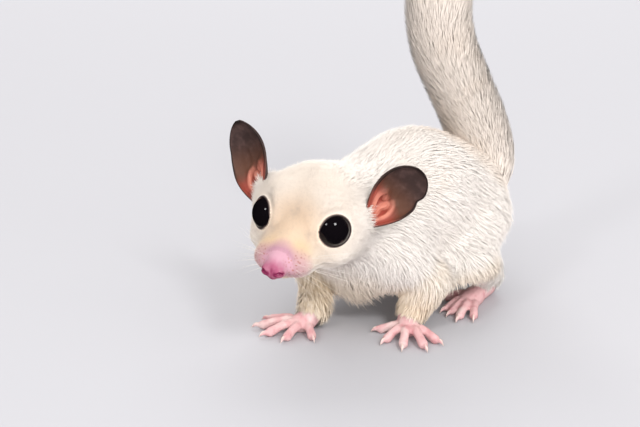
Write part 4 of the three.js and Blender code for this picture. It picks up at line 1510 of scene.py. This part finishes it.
def make_whiskers():
    rng = np.random.default_rng(SEED["whiskers"])
    shader = Shader("glider_whisker", Roughness=0.4, Specular_IOR_Level=0.5)
    material = shader.feed(Base_Color=tone("cream"))
    lines, radii = [], []
    share = np.linspace(0, 1, 12)[:, None]
    for side in SIDES.values():
        for row in range(4):
            for column in range(4):
                root = [side * (3.6 + 0.9 * column), -13.2 + 1.5 * column, -9.0 + 1.1 * row]
                root = np.array(root) + rng.normal(0, 0.15, 3)
                way = np.array([side * 1.0, -0.25 + 0.32 * column, 0.2 * (row - 2.4)])
                way = unit(way + rng.normal(0, 0.06, 3))
                reach = sizes().whisker / MM * (0.45 + 0.18 * column) * rng.uniform(0.85, 1.1)
                sag = np.array([0, 0.22, -0.16]) * reach
                lines.append(from_head(root - way * 0.8 + way * reach * share + sag * share**2))
                radii.append(0.045 * (1 - 0.85 * share[:, 0]))
    rods("whiskers", lines, radii, material, "fur")


def make_claws():
    shader = Shader("glider_claw", Roughness=0.3, Specular_IOR_Level=0.5)
    material = shader.feed(Base_Color=tone("claw"))
    lines, radii = [], []
    for name, side in SIDES.items():
        for at, turn, digits in (
            (HAND_AT[name], HAND_TURN[name], HAND_DIGITS),
            (FOOT_AT[name], FOOT_TURN[name], FOOT_DIGITS),
        ):
            turned = np.array(Matrix.Rotation(math.radians(turn), 3, "Z"))
            for (x, y), angle, reach, radius in digits:
                a = math.radians(angle)
                way = np.array([side * math.sin(a), -math.cos(a), 0])
                tip = np.array([side * x, y, 0]) + way * (reach + radius)
                line = [
                    tip - way * radius * 0.9 + [0, 0, 1.6],
                    tip + way * 0.35 + [0, 0, 1.68],
                    tip + way * 1.1 + [0, 0, 1.05],
                    tip + way * 1.5 + [0, 0, 0.3],
                ]
                smooth, _ = catmull(line, 10)
                lines.append(smooth @ turned.T + np.array(at, float))
                radii.append(np.linspace(0.42, 0.08, 10))
    rods("claws", lines, radii, material, "skin", 8)


# ---------------------------------------------------------------- stage
CAMERA_AZIMUTH, CAMERA_ELEVATION = math.radians(45), math.radians(20)
CAMERA_ASIDE = (5.83, 2.25)
# Name, azimuth and elevation, distance and size in m, power, and whether the eyes mirror it
LIGHTS = (
    ("key", 5, 55, 1.4, 0.9, 1.2, False),
    ("low", 50, 2, 1.5, 1.1, 13.0, False),
    ("fill", 95, 30, 1.6, 1.2, 4.4, False),
    ("rim", 225, 38, 1.4, 1.1, 13.0, False),
    ("spark_left", 72, 43, 1.2, 0.26, 5.0, True),
    ("spark_right", 2, 38, 1.2, 0.18, 1.8, True),
)
WORLD_TONE, WORLD_LIGHT = (1.0, 0.99, 0.975, 1), 0.82


def direction(azimuth, elevation):
    """The way from the model towards an azimuth and an elevation."""
    flat = math.cos(elevation)
    return np.array([math.sin(azimuth) * flat, -math.cos(azimuth) * flat, math.sin(elevation)])


def make_stage():
    floor_size = sizes().floor
    bpy.ops.mesh.primitive_plane_add(size=floor_size, location=(0, 0, 0))
    floor = bpy.context.object
    floor.name = "floor"
    shader = Shader("pale_floor", Roughness=0.9, Specular_IOR_Level=0.1)
    floor.data.materials.append(shader.feed(Base_Color=tone("floor")))
    floor.visible_glossy = False
    floor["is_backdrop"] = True
    back = direction(CAMERA_AZIMUTH, CAMERA_ELEVATION)
    right = np.array([math.cos(CAMERA_AZIMUTH), math.sin(CAMERA_AZIMUTH), 0])
    up = np.cross(back, right)
    at = HEAD_AT + right * CAMERA_ASIDE[0] + up * CAMERA_ASIDE[1] + back * sizes().camera_far / MM
    camera = linked("camera", bpy.data.cameras.new("camera"))
    camera.data.lens = sizes().lens
    camera.data.sensor_width = 36
    camera.data.clip_start, camera.data.clip_end = 0.01, 20
    turned = Matrix(np.stack([right, up, back], 1)).to_4x4()
    camera.matrix_world = Matrix.Translation(to_frame(at)) @ turned
    bpy.context.scene.camera = camera
    world = bpy.data.worlds.new("studio")
    world.use_nodes = True
    background = world.node_tree.nodes["Background"].inputs
    background["Color"].default_value = WORLD_TONE
    background["Strength"].default_value = WORLD_LIGHT
    world.cycles_visibility.glossy = False
    bpy.context.scene.world = world
    bpy.context.scene.view_settings.view_transform = "Standard"
    centre = to_frame([0, 40, 30])
    for name, azimuth, elevation, far, size, power, in_eyes in LIGHTS:
        light = bpy.data.lights.new(name, "AREA")
        light.size, light.energy = size, power
        lamp = linked(name, light)
        lamp.visible_glossy = in_eyes
        way = Vector(direction(math.radians(azimuth), math.radians(elevation)))
        lamp.location = Vector(centre) + way * far
        lamp.rotation_mode = "QUATERNION"
        lamp.rotation_quaternion = way.to_track_quat("Z", "Y")


# ---------------------------------------------------------------- operators
class GLIDER_OT_skin(bpy.types.Operator):
    """One skin over the body, the limbs and the tail's core"""

    bl_idname = "glider.skin"
    bl_label = "Skin"

    def execute(self, context):
        make_skin()
        return {"FINISHED"}


class GLIDER_OT_eyes(bpy.types.Operator):
    """The two glossy eyes"""

    bl_idname = "glider.eyes"
    bl_label = "Eyes"

    def execute(self, context):
        make_eyes()
        return {"FINISHED"}


class GLIDER_OT_lids(bpy.types.Operator):
    """The lids round the eyes, dark at their edge"""

    bl_idname = "glider.lids"
    bl_label = "Lids"

    def execute(self, context):
        make_lids()
        return {"FINISHED"}


class GLIDER_OT_nose(bpy.types.Operator):
    """The bare pad of the nose"""

    bl_idname = "glider.nose"
    bl_label = "Nose"

    def execute(self, context):
        make_nose()
        return {"FINISHED"}


class GLIDER_OT_ears(bpy.types.Operator):
    """Thin dark ears with the folds at their roots"""

    bl_idname = "glider.ears"
    bl_label = "Ears"

    def execute(self, context):
        make_ears()
        return {"FINISHED"}


class GLIDER_OT_body_coat(bpy.types.Operator):
    """Tufts over the body and limbs"""

    bl_idname = "glider.body_coat"
    bl_label = "Body coat"

    def execute(self, context):
        make_body_coat()
        return {"FINISHED"}


class GLIDER_OT_face_coat(bpy.types.Operator):
    """Short tufts over the head"""

    bl_idname = "glider.face_coat"
    bl_label = "Face coat"

    def execute(self, context):
        make_face_coat()
        return {"FINISHED"}


class GLIDER_OT_tail_coat(bpy.types.Operator):
    """Long hair along the tail"""

    bl_idname = "glider.tail_coat"
    bl_label = "Tail coat"

    def execute(self, context):
        make_tail_coat()
        return {"FINISHED"}


class GLIDER_OT_whiskers(bpy.types.Operator):
    """Fine whiskers"""

    bl_idname = "glider.whiskers"
    bl_label = "Whiskers"

    def execute(self, context):
        make_whiskers()
        return {"FINISHED"}


class GLIDER_OT_claws(bpy.types.Operator):
    """Small pale claws"""

    bl_idname = "glider.claws"
    bl_label = "Claws"

    def execute(self, context):
        make_claws()
        return {"FINISHED"}


class GLIDER_OT_stage(bpy.types.Operator):
    """Floor, light and camera"""

    bl_idname = "glider.stage"
    bl_label = "Stage"

    def execute(self, context):
        make_stage()
        return {"FINISHED"}


OPERATORS = [
    GLIDER_OT_skin,
    GLIDER_OT_eyes,
    GLIDER_OT_lids,
    GLIDER_OT_nose,
    GLIDER_OT_ears,
    GLIDER_OT_body_coat,
    GLIDER_OT_face_coat,
    GLIDER_OT_tail_coat,
    GLIDER_OT_whiskers,
    GLIDER_OT_claws,
    GLIDER_OT_stage,
]


class GLIDER_PT_panel(bpy.types.Panel):
    """Lists the pieces in the order they are made"""

    bl_label = "Glider"
    bl_idname = "GLIDER_PT_panel"
    bl_space_type = "VIEW_3D"
    bl_region_type = "UI"
    bl_category = "Glider"

    def draw(self, context):
        for cls in OPERATORS:
            self.layout.operator(cls.bl_idname)


CLASSES = [GliderSizes, GliderColours, *OPERATORS, GLIDER_PT_panel]


def register():
    for cls in CLASSES:
        bpy.utils.register_class(cls)
    bpy.types.Scene.glider_sizes = PointerProperty(type=GliderSizes)
    bpy.types.Scene.glider_colours = PointerProperty(type=GliderColours)


def unregister():
    del bpy.types.Scene.glider_sizes
    del bpy.types.Scene.glider_colours
    for cls in reversed(CLASSES):
        bpy.utils.unregister_class(cls)


def main():
    register()
    for cls in OPERATORS:
        getattr(bpy.ops.glider, cls.bl_idname.split(".")[1])()
    boxes = {"cad": CAD_BOX, "visual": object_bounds()}
    {name: [list(corner) for corner in box] for name, box in boxes.items()}


if __name__ == "__main__":
    main()
